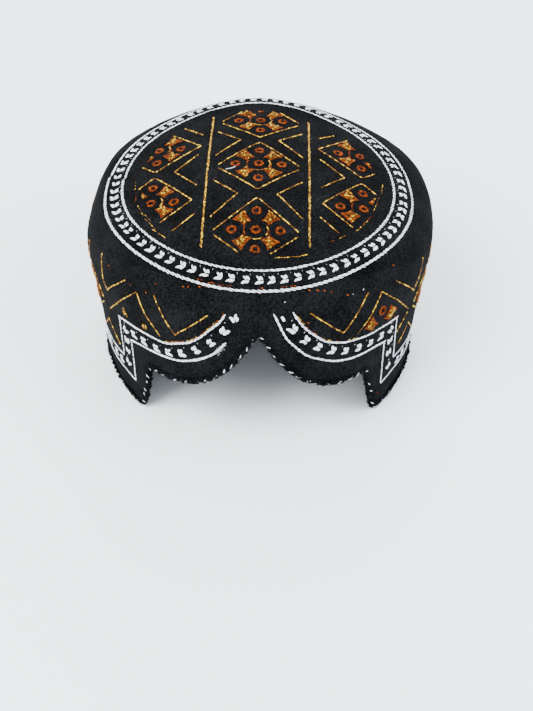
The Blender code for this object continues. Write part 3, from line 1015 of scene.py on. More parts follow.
def diamond_paths(x, y, half_width=DIAMOND_HALF_WIDTH, gap=CORNER_GAP, inner=0):
    """Upper and lower half of a diamond; the lower one starts after a gap, an inner corner sags."""
    paths = []
    for up, start in ((1, 0.0), (-1, gap)):
        tip = y + up * DIAMOND_HALF_HEIGHT
        level = y + up * start
        corners = [(x + way * half_width, level - (INNER_SAG if way == inner else 0)) for way in (-1, 1)]
        paths.append([
            corners[0], (x - TIP_ROUND, tip - up * TIP_ROUND), (x, tip - up * TIP_ROUND * TIP_FLAT),
            (x + TIP_ROUND, tip - up * TIP_ROUND), corners[1]])
    return paths


print("one diamond:", np.round((2 * DIAMOND_HALF_WIDTH / MM, 2 * DIAMOND_HALF_HEIGHT / MM), 1), "mm")


# %% Eyes
EYE_ROUNDS = ((1.50 * MM, 7), (2.10 * MM, 8))
EYE_THREAD = dict(width=0.84 * MM, thick=0.55 * MM, arch=0.40 * MM)
EYE_OVERLAP, EYE_WANDER, EYE_SLANT, EYE_UNEVEN = 1.25, 0.06, 8, (0.95, 1.05)


def eye_stitches(x, y):
    """A small ring sewn in two rounds of short chained stitches round a hole."""
    laid = []
    for radius, count in EYE_ROUNDS:
        first = rng.uniform(0, FULL_TURN)
        for number in range(count):
            turn = first + FULL_TURN * (number + rng.normal(0, EYE_WANDER)) / count
            spoke = np.array([math.cos(turn), math.sin(turn)])
            middle = np.array([x, y]) + spoke * radius * rng.uniform(*EYE_UNEVEN)
            half = turned(spoke, 90 + rng.normal(0, EYE_SLANT)) * radius * math.pi / count * EYE_OVERLAP
            laid.append(stitch(middle - half, middle + half, **EYE_THREAD))
    return laid


print("stitches in an eye:", sum(count for _, count in EYE_ROUNDS))


# %% [markdown]
# ## Stars
# The space between five eyes and the diamond's side leaves four patches with pointed
# corners and hollow sides. A patch is drawn as an outline of four bowed sides, filled line
# by line between the places where a level crosses it, and edged by stitches that run round
# it. Loose gold threads lie on top in its middle.

# %% Star patches
PATCH_CORNERS = ((2.3, 5.6), (6.3, 12.1), (11.6, 6.8), (6.0, 2.8))
PATCH_BOWS = (0.55, 0.15, 0.75, 0.70)
PATCH_UNEVEN, PATCH_INSET, BOW_STEPS = 0.25 * MM, 0.90, 5
FILL_STEP, FILL_RUN, FILL_OVER, FILL_OVERLAP, FILL_LEAN = 0.58 * MM, 1.15 * MM, 0.22 * MM, 1.3, 0.14 * MM
FILL_THREAD = dict(width=0.68 * MM, thick=0.42 * MM, arch=0.30 * MM)
EDGE_THREAD = dict(spacing=1.2 * MM, length=1.8 * MM, width=0.74 * MM, waver=10, thick=0.5 * MM)
SIDE_MARGIN, END_MARGIN = 0.16, 0.14
OPEN_CHANCE, GLINT_CHANCE = 0.15, 0.72
GLINT_HALVES, GLINT_TURN, GLINT_WANDER = (0.5, 0.95), 75, 0.25 * MM
GLINT_THREAD = dict(width=0.44 * MM, thick=0.38 * MM, low=0.20 * MM, arch=0.40 * MM)


def patch_outline(x, y, across, up):
    """A closed outline round one patch of a diamond at (x, y), with slightly uneven corners."""
    corners = np.array(PATCH_CORNERS) * (across, up) * MM + rng.normal(0, PATCH_UNEVEN, (4, 2)) + (x, y)
    middle = corners.mean(0)
    outline = []
    for first, second, bow in zip(corners, np.roll(corners, -1, axis=0), PATCH_BOWS):
        inward = unit(middle - (first + second) / 2)
        for t in np.arange(BOW_STEPS) / BOW_STEPS:
            outline.append(first + (second - first) * t + inward * bow * MM * 4 * t * (1 - t))
    return np.array(outline)


def spans(outline, level):
    """Where a level line enters and leaves a closed outline."""
    following = np.roll(outline, -1, axis=0)
    crossing = (outline[:, 1] > level) != (following[:, 1] > level)
    before, after = outline[crossing], following[crossing]
    share = (level - before[:, 1]) / (after[:, 1] - before[:, 1])
    return np.sort(before[:, 0] + share * (after[:, 0] - before[:, 0])).reshape(-1, 2)


def glint(middle):
    """A loose gold thread at any angle on top of a patch."""
    half = turned((rng.uniform(*GLINT_HALVES) * MM, 0), rng.uniform(-GLINT_TURN, GLINT_TURN))
    return stitch(middle - half, middle + half, **GLINT_THREAD)


def within_margin(value, low, high, margin):
    return margin < (value - low) / (high - low) < 1 - margin


def patch_stitches(x, y, across, up):
    """Fill and edge of one patch, as (orange, gold) stitches."""
    outline = patch_outline(x, y, across, up)
    middle = outline.mean(0)
    inset = middle + (outline - middle) * PATCH_INSET
    orange, gold = run_stitches(np.concatenate([inset, inset[:1]]), **EDGE_THREAD), []
    low, high = outline[:, 1].min(), outline[:, 1].max()
    for level in np.arange(low + FILL_STEP / 2, high, FILL_STEP):
        for left, right in spans(outline, level):
            for start in np.arange(left - FILL_OVER, right, FILL_RUN):
                end = min(start + FILL_RUN * FILL_OVERLAP, right + FILL_OVER)
                spot = np.array([(start + end) / 2, level])
                central = within_margin(spot[0], left, right, SIDE_MARGIN)
                central = central and within_margin(level, low, high, END_MARGIN)
                if not central or rng.random() > OPEN_CHANCE:
                    lean = rng.normal(0, FILL_LEAN)
                    orange.append(stitch((start, level - lean), (end, level + lean), **FILL_THREAD))
                if central and rng.random() < GLINT_CHANCE:
                    gold.append(glint(spot + rng.normal(0, GLINT_WANDER, 2)))
    return orange, gold


print("a patch is filled in lines", round(FILL_STEP / MM, 2), "mm apart")

# %% Filling of a diamond
# each arc: radius, then first and last angle in degrees
RIGHT_ARC, LOWER_ARC, LEFT_ARC = (5.7 * MM, -34, 34), (5.6 * MM, -130, -50), (5.8 * MM, 150, 210)
FAINT_ARC, ARC_STEPS = (6.3 * MM, -26, 12), 12


def arc_path(x, y, radius, first, last):
    turns = np.radians(np.linspace(first, last, ARC_STEPS))
    return np.stack([x + radius * np.cos(turns), y + radius * np.sin(turns)], -1)


def diamond_filling(x, y, inner=0):
    """Eyes, patches and the arcs that join them, as (orange, gold) stitches."""
    orange, gold = [], []
    for dx, dy in ((0, 0), (EYE_X, 0), (-EYE_X, 0), (0, EYE_Y), (0, -EYE_Y)):
        orange += eye_stitches(x + dx, y + dy - (INNER_SAG if dx * inner > 0 else 0))
    for across in (-1, 1):
        for up in (-1, 1):
            more_orange, more_gold = patch_stitches(x, y, across, up)
            orange += more_orange
            gold += more_gold
    gold += run_stitches(arc_path(x, y, *RIGHT_ARC), **THIN)
    if inner == 0:
        gold += run_stitches(arc_path(x, y, *LOWER_ARC), **THIN)
    orange += run_stitches(arc_path(x, y, *LEFT_ARC), **THIN)
    orange += run_stitches(arc_path(x, y, *FAINT_ARC), **FAINT)
    return orange, gold


# %% Crown pattern
PATTERN_TURN, PATTERN_SHIFT = -1.05, np.array([-0.0002, 0.0014])
PATTERN_REACH, FILLING_REACH = 59.6 * MM, 58.8 * MM
LINE_ENDS = {-1: (-57.0, 52.5), 1: (-55.2, 49.5)}
LINE_X = 25.3 * MM
CHEVRON_OUTER, CHEVRON_APEX, CHEVRON_UP, CHEVRON_DOWN = 22 * MM, 9.7 * MM, 11 * MM, 14.7 * MM
SIDE_CHEVRONS = (
    ((-30.7, 12.0), (-42.0, -1.1), (-29.9, -14.9)), ((30.7, 10.4), (43.0, -1.8), (30.9, -14.1)),
    ((-40.1, 43.1), (-29.8, 32.9)), ((-29.4, -34.8), (-39.6, -45.6)),
    ((30.1, 32.0), (38.7, 39.1)), ((30.2, -35.2), (39.4, -44.4)),
)


def placed(stitches):
    """Turn and shift flat stitches from the repeat's own axes to the crown's."""
    rows = np.array(stitches)
    angle = math.radians(PATTERN_TURN)
    spin = np.array([[math.cos(angle), math.sin(angle)], [-math.sin(angle), math.cos(angle)]])
    for column in (0, 2):
        rows[:, column:column + 2] = rows[:, column:column + 2] @ spin + PATTERN_SHIFT
    return rows


def within(stitches, reach):
    """Keep the stitches whose middle lies inside a circle round the ring's middle."""
    rows = np.array(stitches)
    middle = (rows[:, 0:2] + rows[:, 2:4]) / 2
    return rows[np.hypot(middle[:, 0], middle[:, 1]) < reach]


diamonds = [(0, row * ROW_STEP, DIAMOND_HALF_WIDTH, CORNER_GAP, 0) for row in (-1, 0, 1)]
diamonds += [
    (side_x * COLUMN_STEP, y, half_width, 0, -side_x)
    for side_x in (-1, 1) for y, half_width in SIDE_DIAMONDS]
chevrons = [np.array(path) * MM for path in SIDE_CHEVRONS]
for side_x in (-1, 1):
    for y in (-ROW_STEP / 2, ROW_STEP / 2):
        outer = side_x * CHEVRON_OUTER
        chevrons.append([(outer, y + CHEVRON_UP), (side_x * CHEVRON_APEX, y), (outer, y - CHEVRON_DOWN)])

outline, orange_fill, gold_fill = [], [], []
for x, y, half_width, gap, inner in diamonds:
    for path in diamond_paths(x, y, half_width, gap, inner):
        outline += run_stitches(path, **THIN)
    more_orange, more_gold = diamond_filling(x, y, inner)
    orange_fill += more_orange
    gold_fill += more_gold
for path in chevrons:
    outline += run_stitches(path, **THIN)
straight = []
for side_x, (front_end, back_end) in LINE_ENDS.items():
    straight += run_stitches([(side_x * LINE_X, front_end * MM), (side_x * LINE_X, back_end * MM)], **THICK)
outline, straight = within(placed(outline), PATTERN_REACH), placed(straight)
orange_fill, gold_fill = (within(placed(fill), FILLING_REACH) for fill in (orange_fill, gold_fill))
sew("crown_gold_lines", outline, on_crown, gold_metal)
sew("crown_straight_lines", straight, on_crown, gold_metal)
sew("crown_orange", orange_fill, on_crown, orange_silk, FINE)
sew("crown_gold_filling", gold_fill, on_crown, gold_metal, FINE)

# %% [markdown]
# ## Traces of sewing on the crown
# The cloth was embroidered before it was cut and joined, and small traces of that are
# left: broken gold and orange threads along the inner ring, orange peeping out by the
# outer ring, and one loose white end. They are short runs of thin stitches, some of them
# left out at random, so that a line looks broken.

# %% Broken threads
CUT_ARCS = (
    ((-61.6, -1.0), (-61.4, -7.5)), ((-59.0, -21.0), (-55.4, -30.0)), ((-54.6, -32.2), (-48.8, -41.0)),
    ((-56.0, -27.0), (-51.5, -35.0)), ((-52.6, -37.5), (-48.8, -42.3), (-43.6, -47.6)),
    ((62.2, 0.5), (61.3, -8.0)), ((57.6, -18.5), (55.6, -25.0)), ((53.5, -30.5), (48.4, -38.0)),
    ((52.0, -33.5), (46.8, -40.5)), ((42.6, -43.6), (38.2, -46.8)),
)
FRONT_THREAD = ((7.5, -61.7), (12.6, -61.3), (18.4, -60.3), (23.0, -59.0))
CUT_ORANGE = (
    ((-60.9, -10.0), (-60.0, -17.5)), ((59.6, -11.5), (57.8, -18.0)), ((55.0, -27.5), (50.6, -34.5)),
    ((34.0, -49.6), (36.0, -48.6)),
)
PEEPING = ((-20.0, 3.2), (-15.6, 3.6), (-12.4, 2.8), (-9.6, 3.0), (9.2, 3.4), (12.2, 3.4), (1.5, 0.8))
PEEP_RING = 76.0 * MM
LOOSE_END = ((-16.3, -3.0), (-13.9, -2.7), (-11.4, -1.4))
LOOSE_THREAD = dict(spacing=1.5 * MM, length=2.2 * MM, width=0.36 * MM, low=0.30 * MM)
CUT_THREAD = FAINT | {"width": 0.36 * MM}
GOLD_KEPT, ORANGE_KEPT, ALL_KEPT = 0.80, 0.85, 1.0


def broken(paths, kept, **run):
    """Runs of stitches along paths in millimetres, with some stitches left out."""
    laid = []
    for path in paths:
        laid += [row for row in run_stitches(np.array(path) * MM, **run) if rng.random() < kept]
    return laid


def peeping():
    laid = []
    for degrees, length in PEEPING:
        place, forward, _ = ring_place(math.radians(degrees), PEEP_RING, 1)
        half = forward * length * MM / 2
        laid += run_stitches([place - half, place + half], **FAINT)
    return laid


cut_gold = broken(CUT_ARCS, GOLD_KEPT, **CUT_THREAD) + broken([FRONT_THREAD], ALL_KEPT, **FAINT)
sew("cut_gold", cut_gold, on_crown, gold_metal, FINE)
cut_orange = broken(CUT_ORANGE, ORANGE_KEPT, **FAINT) + peeping()
sew("cut_orange", cut_orange, on_crown, orange_silk, FINE)
loose = run_stitches(smooth_path(np.array(LOOSE_END) * MM), **LOOSE_THREAD)
sew("loose_end", loose, on_crown, white_cotton, FINE)

# %% [markdown]
# ## White band on the wall
# The same pair of white lines and row of arrows follows the cut edge: it swings up over each
# lobe, drops straight down behind the notch and runs level round the back. Its two lines
# are short lists of places on the unrolled wall, in degrees from the front and millimetres
# above the hem, one for each side, since the sewing was not quite alike on both. The lobes
# are rounded by a curve and the corners stay sharp.

# %% Lines of the wall band
RIGHT, LEFT = 1, -1
UPPER_LOBE = {
    RIGHT: ((11.3, 82.2), (12.3, 78.6), (14.6, 73.5), (17.9, 68.3), (21.6, 63.9), (27.3, 60.5), (32.6, 59.0),
            (37.6, 58.0), (43.3, 57.7), (51.5, 56.2)),
    LEFT: ((10.2, 80.6), (11.7, 76.9), (14.4, 72.7), (17.4, 67.7), (21.6, 62.4), (26.3, 59.0), (30.7, 56.3),
           (35.7, 55.9), (41.1, 55.3), (47.3, 54.4), (52.6, 53.0)),
}
LOWER_LOBE = {
    RIGHT: ((5.2, 81.9), (6.5, 76.8), (8.5, 69.9), (11.6, 64.0), (15.6, 58.1), (19.7, 54.6), (25.3, 50.6),
            (31.3, 48.4), (36.3, 47.6), (41.6, 47.3), (46.4, 45.9)),
    LEFT: ((9.7, 66.8), (13.7, 59.3), (18.2, 54.4), (22.4, 51.0), (26.7, 48.7), (31.6, 47.5), (36.7, 46.6),
           (42.5, 45.4), (47.3, 43.5)),
}
UPPER_LEVEL = {RIGHT: ((54.8, 26.6), (62.7, 24.8), (180, 24.7)),
               LEFT: ((54.3, 26.2), (62.0, 24.8), (180, 24.7))}
LOWER_LEVEL = {RIGHT: ((48.6, 16.0), (56.6, 17.0), (65.4, 15.6), (180, 14.6)),
               LEFT: ((48.6, 15.4), (53.2, 16.2), (62.0, 15.2), (180, 14.6))}


def unrolled(points, mirror=RIGHT):
    """Degrees from the front and millimetres above the hem, as flat metres."""
    return np.array([(mirror * math.radians(degrees) * GIRTH, height * MM) for degrees, height in points])


LOBE_ROPE = dict(spacing=2.5 * MM, length=3.4 * MM, width=0.64 * MM, thick=0.50 * MM, waver=4.0,
                 strands=2, apart=0.40 * MM, stray=0.05 * MM, arch=0.22 * MM)
LEVEL_ROPE = dict(spacing=2.4 * MM, length=3.4 * MM, width=0.86 * MM, thick=0.52 * MM, waver=4.0,
                  stray=0.06 * MM, arch=0.25 * MM)
LOBE_SLANT, LEVEL_SLANT = 9, 7
wall_rope = []
for mirror in (RIGHT, LEFT):
    for lobe, level in ((UPPER_LOBE, UPPER_LEVEL), (LOWER_LOBE, LOWER_LEVEL)):
        curve = smooth_path(unrolled(lobe[mirror], mirror))
        wall_rope += run_stitches(curve, slant=LOBE_SLANT * mirror, **LOBE_ROPE)
        for straight in ((lobe[mirror][-1], level[mirror][0]), level[mirror]):
            wall_rope += run_stitches(unrolled(straight, mirror), slant=LEVEL_SLANT * mirror, **LEVEL_ROPE)
sew("wall_lines", wall_rope, on_wall, white_cotton)

# %% Arrows of the wall band
WALL_ARROW_STEP = 6.2 * MM
WALL_ARROWS = {
    RIGHT: ((10.6, 74.3), (14.3, 67.7), (18.6, 62.4), (23.5, 57.9), (28.5, 54.8), (33.7, 53.0),
            (38.7, 52.2), (43.7, 51.9), (49.0, 51.2), (49.9, 43.4), (50.6, 35.0), (51.7, 24.4),
            (58.7, 20.6), (62.7, 20.4)),
    LEFT: ((10.2, 72.8), (14.4, 65.4), (19.5, 59.1), (24.8, 54.3), (29.7, 51.6), (34.7, 50.2),
           (40.1, 49.6), (45.1, 49.2), (49.9, 47.6), (50.3, 40.6), (50.8, 33.2), (51.6, 24.6),
           (57.0, 20.4), (61.0, 20.2)),
}
BACK_ARROW = (179, 19.7)
WALL_ARROW_SWELL, WALL_ARROW_JITTER, LONE_SWELL = 1.75, 0.2, 1.6
TICK_BEHIND, TICK_INWARD, TICK_IN, TICK_OUT = 3.0 * MM, 2.6 * MM, 0.5 * MM, 0.4 * MM
WALL_TICK_WIDTH, WALL_TICK_THICK = 0.18 * MM, 0.16 * MM
LONE_PIECES = ((7.8, 79.6), (-7.4, 79.4))
LONE_FORWARD, LONE_OUTWARD = np.array([0.55, -0.84]), np.array([-0.84, -0.55])
SQUARE_THREADS = ((0.9, -0.8, 0.9, 0.9), (0.1, -0.9, 0.1, 0.9), (-0.7, -0.8, -0.7, 0.8))


def wall_arrows():
    laid = []
    for mirror, spots in WALL_ARROWS.items():
        further = even_steps(unrolled([spots[-1], BACK_ARROW], mirror), WALL_ARROW_STEP)[0][1:]
        places = np.concatenate([unrolled(spots, mirror), further])
        aheads = unit(np.gradient(places, axis=0))
        for place, forward in zip(places, aheads):
            outward = np.array([forward[1], -forward[0]]) * mirror
            size = rng.uniform(*ARROW_SIZES)
            laid += arrow(place, forward, outward, size, WALL_ARROW_SWELL, WALL_ARROW_JITTER)
            tick = place - forward * TICK_BEHIND - outward * TICK_INWARD
            start, end = tick - outward * TICK_IN, tick + outward * TICK_OUT
            laid.append(stitch(start, end, WALL_TICK_WIDTH, WALL_TICK_THICK))
    for place, threads in zip(unrolled(LONE_PIECES), (SQUARE_THREADS, ARROW_THREADS)):
        laid += arrow(place, LONE_FORWARD, LONE_OUTWARD, swell=LONE_SWELL, threads=threads)
    return laid


sew("wall_arrows", wall_arrows(), on_wall, white_cotton, FINE)

# %% [markdown]
# ## Gold pattern on the wall
# The wall is the same embroidered cloth turned a quarter: diamonds in a row round the cap
# with a chevron above and below between each two. The pieces by the front are placed by
# their own corners, for the band was cut a little askew there; from the sides to the back
# the row is even. The seam and the white band cut the pattern off, so stitches outside
# those limits are dropped.

# %% Wall pattern
WALL_PITCH, FIRST_EVEN = math.radians(34.25) * GIRTH, math.radians(77.25) * GIRTH
WALL_AXIS = 52.5 * MM
V_HALF, V_RISE, V_APEX = 15.5 * MM, 15.5 * MM, 11.5 * MM
FRONT_GOLD = {
    RIGHT: (((16.6, 80.5), (26.9, 66.3), (37.9, 81.2)), ((32.3, 62.0), (43.2, 78.3), (59.4, 53.3)),
            ((59.4, 51.6), (50.0, 41.0)), ((50.1, 79.1), (60.3, 63.9), (69.5, 80.5)),
            ((56.6, 33.7), (63.2, 40.1), (70.6, 27.7))),
    LEFT: (((15.8, 78.9), (26.5, 64.0), (35.3, 79.8)), ((32.3, 58.9), (42.3, 76.6), (59.3, 50.6)),
           ((48.2, 78.3), (57.7, 64.1), (64.8, 79.6)), ((56.0, 31.0), (63.0, 40.0), (70.0, 28.0))),
}
FRONT_FILLING = (42.3, 56.4)
LEFT_BLOBS = ((47.9, 60.2, 4.6, 118), (38.9, 59.9, 2.8, 10))
BLOB_THREAD = dict(spacing=0.5 * MM, length=2.3 * MM, width=0.7 * MM, slant=80, waver=14)
BLOB_GLINTS, BLOB_SPREAD = 8, 0.7 * MM
PEEPING_SHARE = {RIGHT: 0.50, LEFT: 0.90}
PEEPING_POINTS, PEEPING_LIFT, PEEPING_ORANGE = 7, 0.95 * MM, 0.3
BELOW_SEAM, ABOVE_BAND, PAST_LOBE = 0.4 * MM, 1.5 * MM, 2.0 * MM
EVEN_DIAMONDS = 3


def clear_of_edges(stitches):
    """Keep stitches between the white band's upper line and the seam."""
    rows = np.array(stitches)
    kept = np.ones(len(rows), bool)
    for column in (0, 2):
        across = np.mod(rows[:, column] + math.pi * GIRTH, FULL_TURN * GIRTH) - math.pi * GIRTH
        height = rows[:, column + 1]
        floor_height = np.full(len(rows), UPPER_LEVEL[RIGHT][-1][1] * MM)
        for mirror, lobe in UPPER_LOBE.items():
            curve = unrolled(lobe)
            over_lobe = (across * mirror >= 0) & (abs(across) < curve[-1, 0] + PAST_LOBE)
            lobe_height = np.interp(abs(across), curve[:, 0], curve[:, 1])
            floor_height = np.where(over_lobe, lobe_height, floor_height)
        kept &= (height > floor_height + ABOVE_BAND) & (height < seam_height(across / GIRTH) - BELOW_SEAM)
    return rows[kept]


def v_path(x, up):
    """A chevron between two diamonds, its apex toward the row's axis."""
    apex = WALL_AXIS + up * V_APEX
    return [(x - V_HALF, apex + up * V_RISE), (x, apex), (x + V_HALF, apex + up * V_RISE)]


def gold_blob(degrees, height, length, lean):
    """A thick dab of gold, what was left of a star where the band was sewn over it."""
    middle = unrolled([(degrees, height)], LEFT)[0]
    blob = run_stitches(dash(middle, length * MM, lean), **BLOB_THREAD)
    return blob + [glint(middle + rng.normal(0, BLOB_SPREAD, 2)) for _ in range(BLOB_GLINTS)]


def thread_beside_line():
    """Gold and orange peeping out along the upper side of the band's upper line."""
    gold, orange = [], []
    for mirror in (RIGHT, LEFT):
        path = smooth_path(unrolled(UPPER_LOBE[mirror][:PEEPING_POINTS], mirror))
        ahead = unit(np.gradient(path, axis=0))
        above = path + np.stack([-ahead[:, 1], ahead[:, 0]], -1) * mirror * PEEPING_LIFT
        for row in run_stitches(above, **FAINT):
            if rng.random() < PEEPING_SHARE[mirror]:
                (orange if rng.random() < PEEPING_ORANGE else gold).append(row)
    return gold, orange


wall_outline, wall_orange, wall_sparkle = [], [], []
for mirror, paths in FRONT_GOLD.items():
    for path in paths:
        wall_outline += run_stitches(unrolled(path, mirror), **THIN)
counts = range(EVEN_DIAMONDS)
evenly = [mirror * (FIRST_EVEN + count * WALL_PITCH) for mirror in (RIGHT, LEFT) for count in counts]
fillings = [tuple(unrolled([FRONT_FILLING])[0])] + [(x, WALL_AXIS) for x in evenly + [math.pi * GIRTH]]
for x, y in fillings:
    more_orange, more_gold = diamond_filling(x, y)
    wall_orange += more_orange
    wall_sparkle += more_gold
for x, y in fillings[1:]:
    for path in diamond_paths(x, y):
        wall_outline += run_stitches(path, **THIN)
for x in evenly:
    for up in (1, -1):
        wall_outline += run_stitches(v_path(x + math.copysign(WALL_PITCH / 2, x), up), **THIN)
for blob in LEFT_BLOBS:
    wall_sparkle += gold_blob(*blob)
beside_gold, beside_orange = thread_beside_line()
sew("wall_gold_lines", clear_of_edges(wall_outline), on_wall, gold_metal)
sew("wall_orange", clear_of_edges(wall_orange), on_wall, orange_silk, FINE)
sew("wall_gold_filling", clear_of_edges(wall_sparkle), on_wall, gold_metal, FINE)
sew("wall_peeping_gold", beside_gold, on_wall, gold_metal, FINE)

# %% [markdown]
# ## Flecks and frayed ends
# Orange thread carried under the cloth comes up here and there as a fleck by the seam, the
# left lower line of the band frays out where it stops, and a few specks of white lint lie
# on the wall. Flecks and specks are short stitches; the fray is a bunch of hairs.

# %% Flecks
FLECKS = (
    # degrees from the front, height and length in millimetres
    (-45.4, 78.2, 1.0), (-38.4, 79.1, 1.2), (-35.3, 85.5, 1.0), (-25.2, 89.3, 1.4), (-23.4, 89.9, 1.2),
    (-19.5, 91.2, 1.4), (-16.4, 92.1, 4.0), (17.4, 91.0, 1.4), (20.2, 90.1, 1.8), (22.4, 89.4, 1.5),
    (24.8, 88.1, 1.7), (30.2, 84.3, 1.4), (50.8, 86.8, 1.4), (15.7, 76.0, 1.0),
    (-58.1, 77.4, 1.2), (47.7, 10.1, 1.4),
)
LINT = ((8.8, 87.2, 0.9), (36.4, 83.7, 1.2), (32.2, 83.6, 0.6))
FLECK_RUN, FLECK_OVERLAP, FLECK_WANDER = 1.3, 1.15, 6
FLECK_THREAD = dict(width=0.74 * MM, stray=0.08 * MM, thick=0.46 * MM)
FLECK_TILT, MOST_TILT = -0.8, 28
LINT_TURN, LINT_WANDER = 20, 20
LINT_THREAD = dict(width=0.42 * MM, thick=0.30 * MM)
FRAY_START, FRAY_END = (-10.4, 65.4), (-13.4, 59.4)
FRAY_HAIRS, FRAY_SPREAD, FRAY_REACH, FRAY_RISE = 60, 0.5 * MM, (0.7, 1.7), (0.1, 0.6)
FRAY_TURN, FRAY_WANDER = 60, 70
FRAY_THREAD = dict(width=0.14 * MM, thick=0.12 * MM, low=0.05 * MM)


def flecks():
    laid = []
    for degrees, height, length in FLECKS:
        tilt = float(np.clip(FLECK_TILT * degrees, -MOST_TILT, MOST_TILT)) + rng.normal(0, FLECK_WANDER)
        path = dash(unrolled([(degrees, height)])[0], length * MM, tilt)
        each = FLECK_OVERLAP * length * MM / max(1, round(length / FLECK_RUN))
        laid += run_stitches(path, FLECK_RUN * MM, each, **FLECK_THREAD)
    return laid


def fray():
    first, last = unrolled([FRAY_START, FRAY_END])
    laid = []
    for _ in range(FRAY_HAIRS):
        root = first + (last - first) * rng.uniform(0, 1) + rng.normal(0, FRAY_SPREAD, 2)
        reach = turned((rng.uniform(*FRAY_REACH) * MM, 0), rng.normal(FRAY_TURN, FRAY_WANDER))
        laid.append(stitch(root, root + reach, high=rng.uniform(*FRAY_RISE) * MM, **FRAY_THREAD))
    return laid


def lint():
    laid = []
    for degrees, height, length in LINT:
        start, end = dash(unrolled([(degrees, height)])[0], length * MM, rng.normal(LINT_TURN, LINT_WANDER))
        laid.append(stitch(start, end, **LINT_THREAD))
    return laid


sew("wall_flecks", flecks() + beside_orange, on_wall, orange_silk, FINE)
sew("frayed_end", fray() + lint(), on_wall, white_cotton, HAIR)

# %% [markdown]
# ## Overcast hem
# The cut edge is bound by yarn that goes round and round it. A single coiled curve would
# look like a spring, so each turn is a long stitch of its own, laid on a ground that wraps
# the edge: one flat axis runs along the hem, the other goes round it from the outer face,
# under the edge, to the inner face. The turns swell and thin out, so the edge is knobbly;
# hairs and short tufts make it fuzzy, and white stitches lie aslant over it on the outside.

# %% Ground of the hem
YARN_ROOM_OUT, YARN_ROOM_UP = 0.00035, 0.0003
HALF_OUT, HALF_UP = EDGING_WIDTH / 2 - YARN_ROOM_OUT, EDGING_HEIGHT / 2 - YARN_ROOM_UP
ROUND_RADIUS = (HALF_OUT + HALF_UP) / 2


def hem_frames():
    """Middle line of the edging with the directions out of the cloth and into it."""
    edge = lifted_edge(EDGING_HEIGHT + PIECE_GAP)
    spots, outs = side(edge[:, 0], edge[:, 1])
    outs = levelled(outs, edge[:, 1] - EDGING_HEIGHT - PIECE_GAP)
    along = np.roll(spots, -1, axis=0) - np.roll(spots, 1, axis=0)
    inward = unit(np.cross(outs, along))
    middle = spots - outs * CLOTH_THICKNESS / 2 - inward * (PIECE_GAP + EDGING_HEIGHT / 2)
    closed = [np.concatenate([values, values[:1]]) for values in (middle, outs, inward)]
    return run_lengths(closed[0]), closed


hem_runs, hem_lines = hem_frames()
HEM_LENGTH = float(hem_runs[-1])


def on_hem(flat):
    """Ground round the edging: distance along the hem, and distance round it from outside."""
    along = np.mod(flat[:, 0], HEM_LENGTH)
    middle, out, inward = (
        np.stack([np.interp(along, hem_runs, line[:, k]) for k in range(3)], -1) for line in hem_lines)
    turn = flat[:, 1] / ROUND_RADIUS
    cosine, sine = np.cos(turn)[:, None], np.sin(turn)[:, None]
    spot = middle + out * cosine * HALF_OUT + inward * sine * HALF_UP
    return spot, unit(out * cosine + inward * sine)


print("hem length:", round(HEM_LENGTH / MM), "mm")

# %% Yarn turns and hairs
# places round the edging are in radians from its outer face, downward when negative
TURN_STEP, TURN_LEAN, TURN_WANDER = 1.12 * MM, 1.9 * MM, 0.16 * MM
TURN_TOP, TURN_BOTTOM, TOP_UNEVEN, BOTTOM_UNEVEN = 2.0, -3.9, 0.07, 0.05
TURN_WIDTHS = (1.05, 1.5)
TURN_THREAD = dict(thick=0.78 * MM, low=-0.25 * MM)
KNOB_LENGTH, KNOB_SIZE, KNOB_MIDDLE, KNOB_UNEVEN, KNOB_LEAST = 3.6 * MM, 0.36, 0.50, 0.15, 0.1
HAIRS, HAIR_PLACES, HAIR_LEAN, HAIR_RISE = 4200, (-3.4, 2.4), (0, 0.8), (0.3, 1.1)
TUFTS, TUFT_PLACES, TUFT_LEAN, TUFT_RISE = 2600, (-2.6, 0.8), (0.6, 1.0), (0.5, 1.5)
REACH_ROUND, TUFT_WIDTHS, TUFT_ROOT, TUFT_ARCH = (0, 0.5), (0.28, 0.52), 0.2 * MM, 0.2 * MM
HAIR_THREAD = dict(width=0.08 * MM, thick=0.08 * MM, low=0.1 * MM, arch=0.15 * MM)


def yarn_turns():
    laid = []
    for count in range(int(HEM_LENGTH / TURN_STEP)):
        along = count * TURN_STEP + rng.normal(0, TURN_WANDER)
        top = (1 + rng.normal(0, TOP_UNEVEN)) * TURN_TOP
        bottom = (1 + rng.normal(0, BOTTOM_UNEVEN)) * TURN_BOTTOM
        start, end = (along + TURN_LEAN, top * ROUND_RADIUS), (along - TURN_LEAN, bottom * ROUND_RADIUS)
        width = rng.uniform(*TURN_WIDTHS) * MM
        knob = KNOB_SIZE * math.sin(FULL_TURN * along / KNOB_LENGTH) + rng.normal(0, KNOB_UNEVEN)
        laid.append(stitch(start, end, width, arch=max(KNOB_LEAST, KNOB_MIDDLE + knob) * MM, **TURN_THREAD))
    return laid


def hair_line(places, lean):
    """Start and end of a hair or tuft at a chance place round the edging."""
    start = np.array([rng.uniform(0, HEM_LENGTH), rng.uniform(*places) * ROUND_RADIUS])
    return start, start + np.array([rng.normal(*lean), rng.normal(*REACH_ROUND)]) * MM


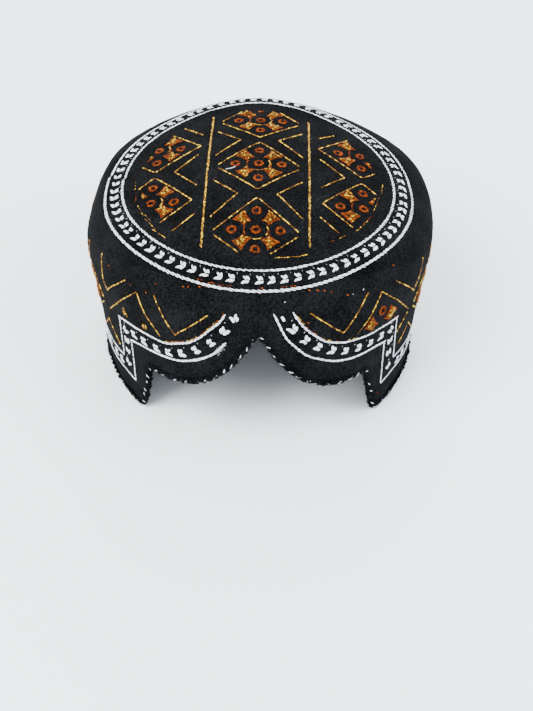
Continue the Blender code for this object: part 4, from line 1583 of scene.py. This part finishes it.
def yarn_hairs():
    laid = []
    for _ in range(HAIRS):
        start, end = hair_line(HAIR_PLACES, HAIR_LEAN)
        laid.append(stitch(start, end, high=rng.uniform(*HAIR_RISE) * MM, **HAIR_THREAD))
    for _ in range(TUFTS):
        start, end = hair_line(TUFT_PLACES, TUFT_LEAN)
        wide, high = rng.uniform(*TUFT_WIDTHS) * MM, rng.uniform(*TUFT_RISE) * MM
        laid.append(stitch(start, end, wide, wide, low=TUFT_ROOT, high=high, arch=TUFT_ARCH))
    return laid


def rest_on_floor(piece):
    """Cloth that would dip below the surface it stands on is pressed flat there."""
    for vertex in piece.data.vertices:
        vertex.co.z = max(vertex.co.z, 0.0)


hem_yarn = sew("hem_yarn", yarn_turns(), on_hem, yarn_black, WRAP)
hem_fuzz = sew("hem_fuzz", yarn_hairs(), on_hem, yarn_black, HAIR)

# %% White stitches over the yarn
WHITE_STEP, WHITE_WANDER, WHITE_HALVES, WHITE_WIDTHS = 5.9 * MM, 0.55 * MM, (1.6, 2.3), (0.38, 0.52)
WHITE_LOW, WHITE_HIGH = (-1.10, 0.14), (0.05, 0.16)
WHITE_THREAD = dict(thick=0.36 * MM, low=0.22 * MM, arch=0.42 * MM)


def hem_whites():
    laid = []
    for count in range(int(HEM_LENGTH / WHITE_STEP)):
        along = (count + 0.5) * WHITE_STEP + rng.normal(0, WHITE_WANDER)
        half = rng.uniform(*WHITE_HALVES) * MM
        low, high = rng.normal(*WHITE_LOW), rng.normal(*WHITE_HIGH)
        start, end = (along - half, low * ROUND_RADIUS), (along + half, high * ROUND_RADIUS)
        laid.append(stitch(start, end, rng.uniform(*WHITE_WIDTHS) * MM, **WHITE_THREAD))
    return laid


hem_white = sew("hem_white", hem_whites(), on_hem, white_cotton, FINE)
for piece in (hem_yarn, hem_fuzz, hem_white):
    rest_on_floor(piece)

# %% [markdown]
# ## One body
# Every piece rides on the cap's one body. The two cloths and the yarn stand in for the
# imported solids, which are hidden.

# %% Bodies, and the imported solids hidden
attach(crown_cloth, "root")
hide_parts("crown")
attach(band_cloth, "root")
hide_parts("side_band")
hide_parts("hem_edging")
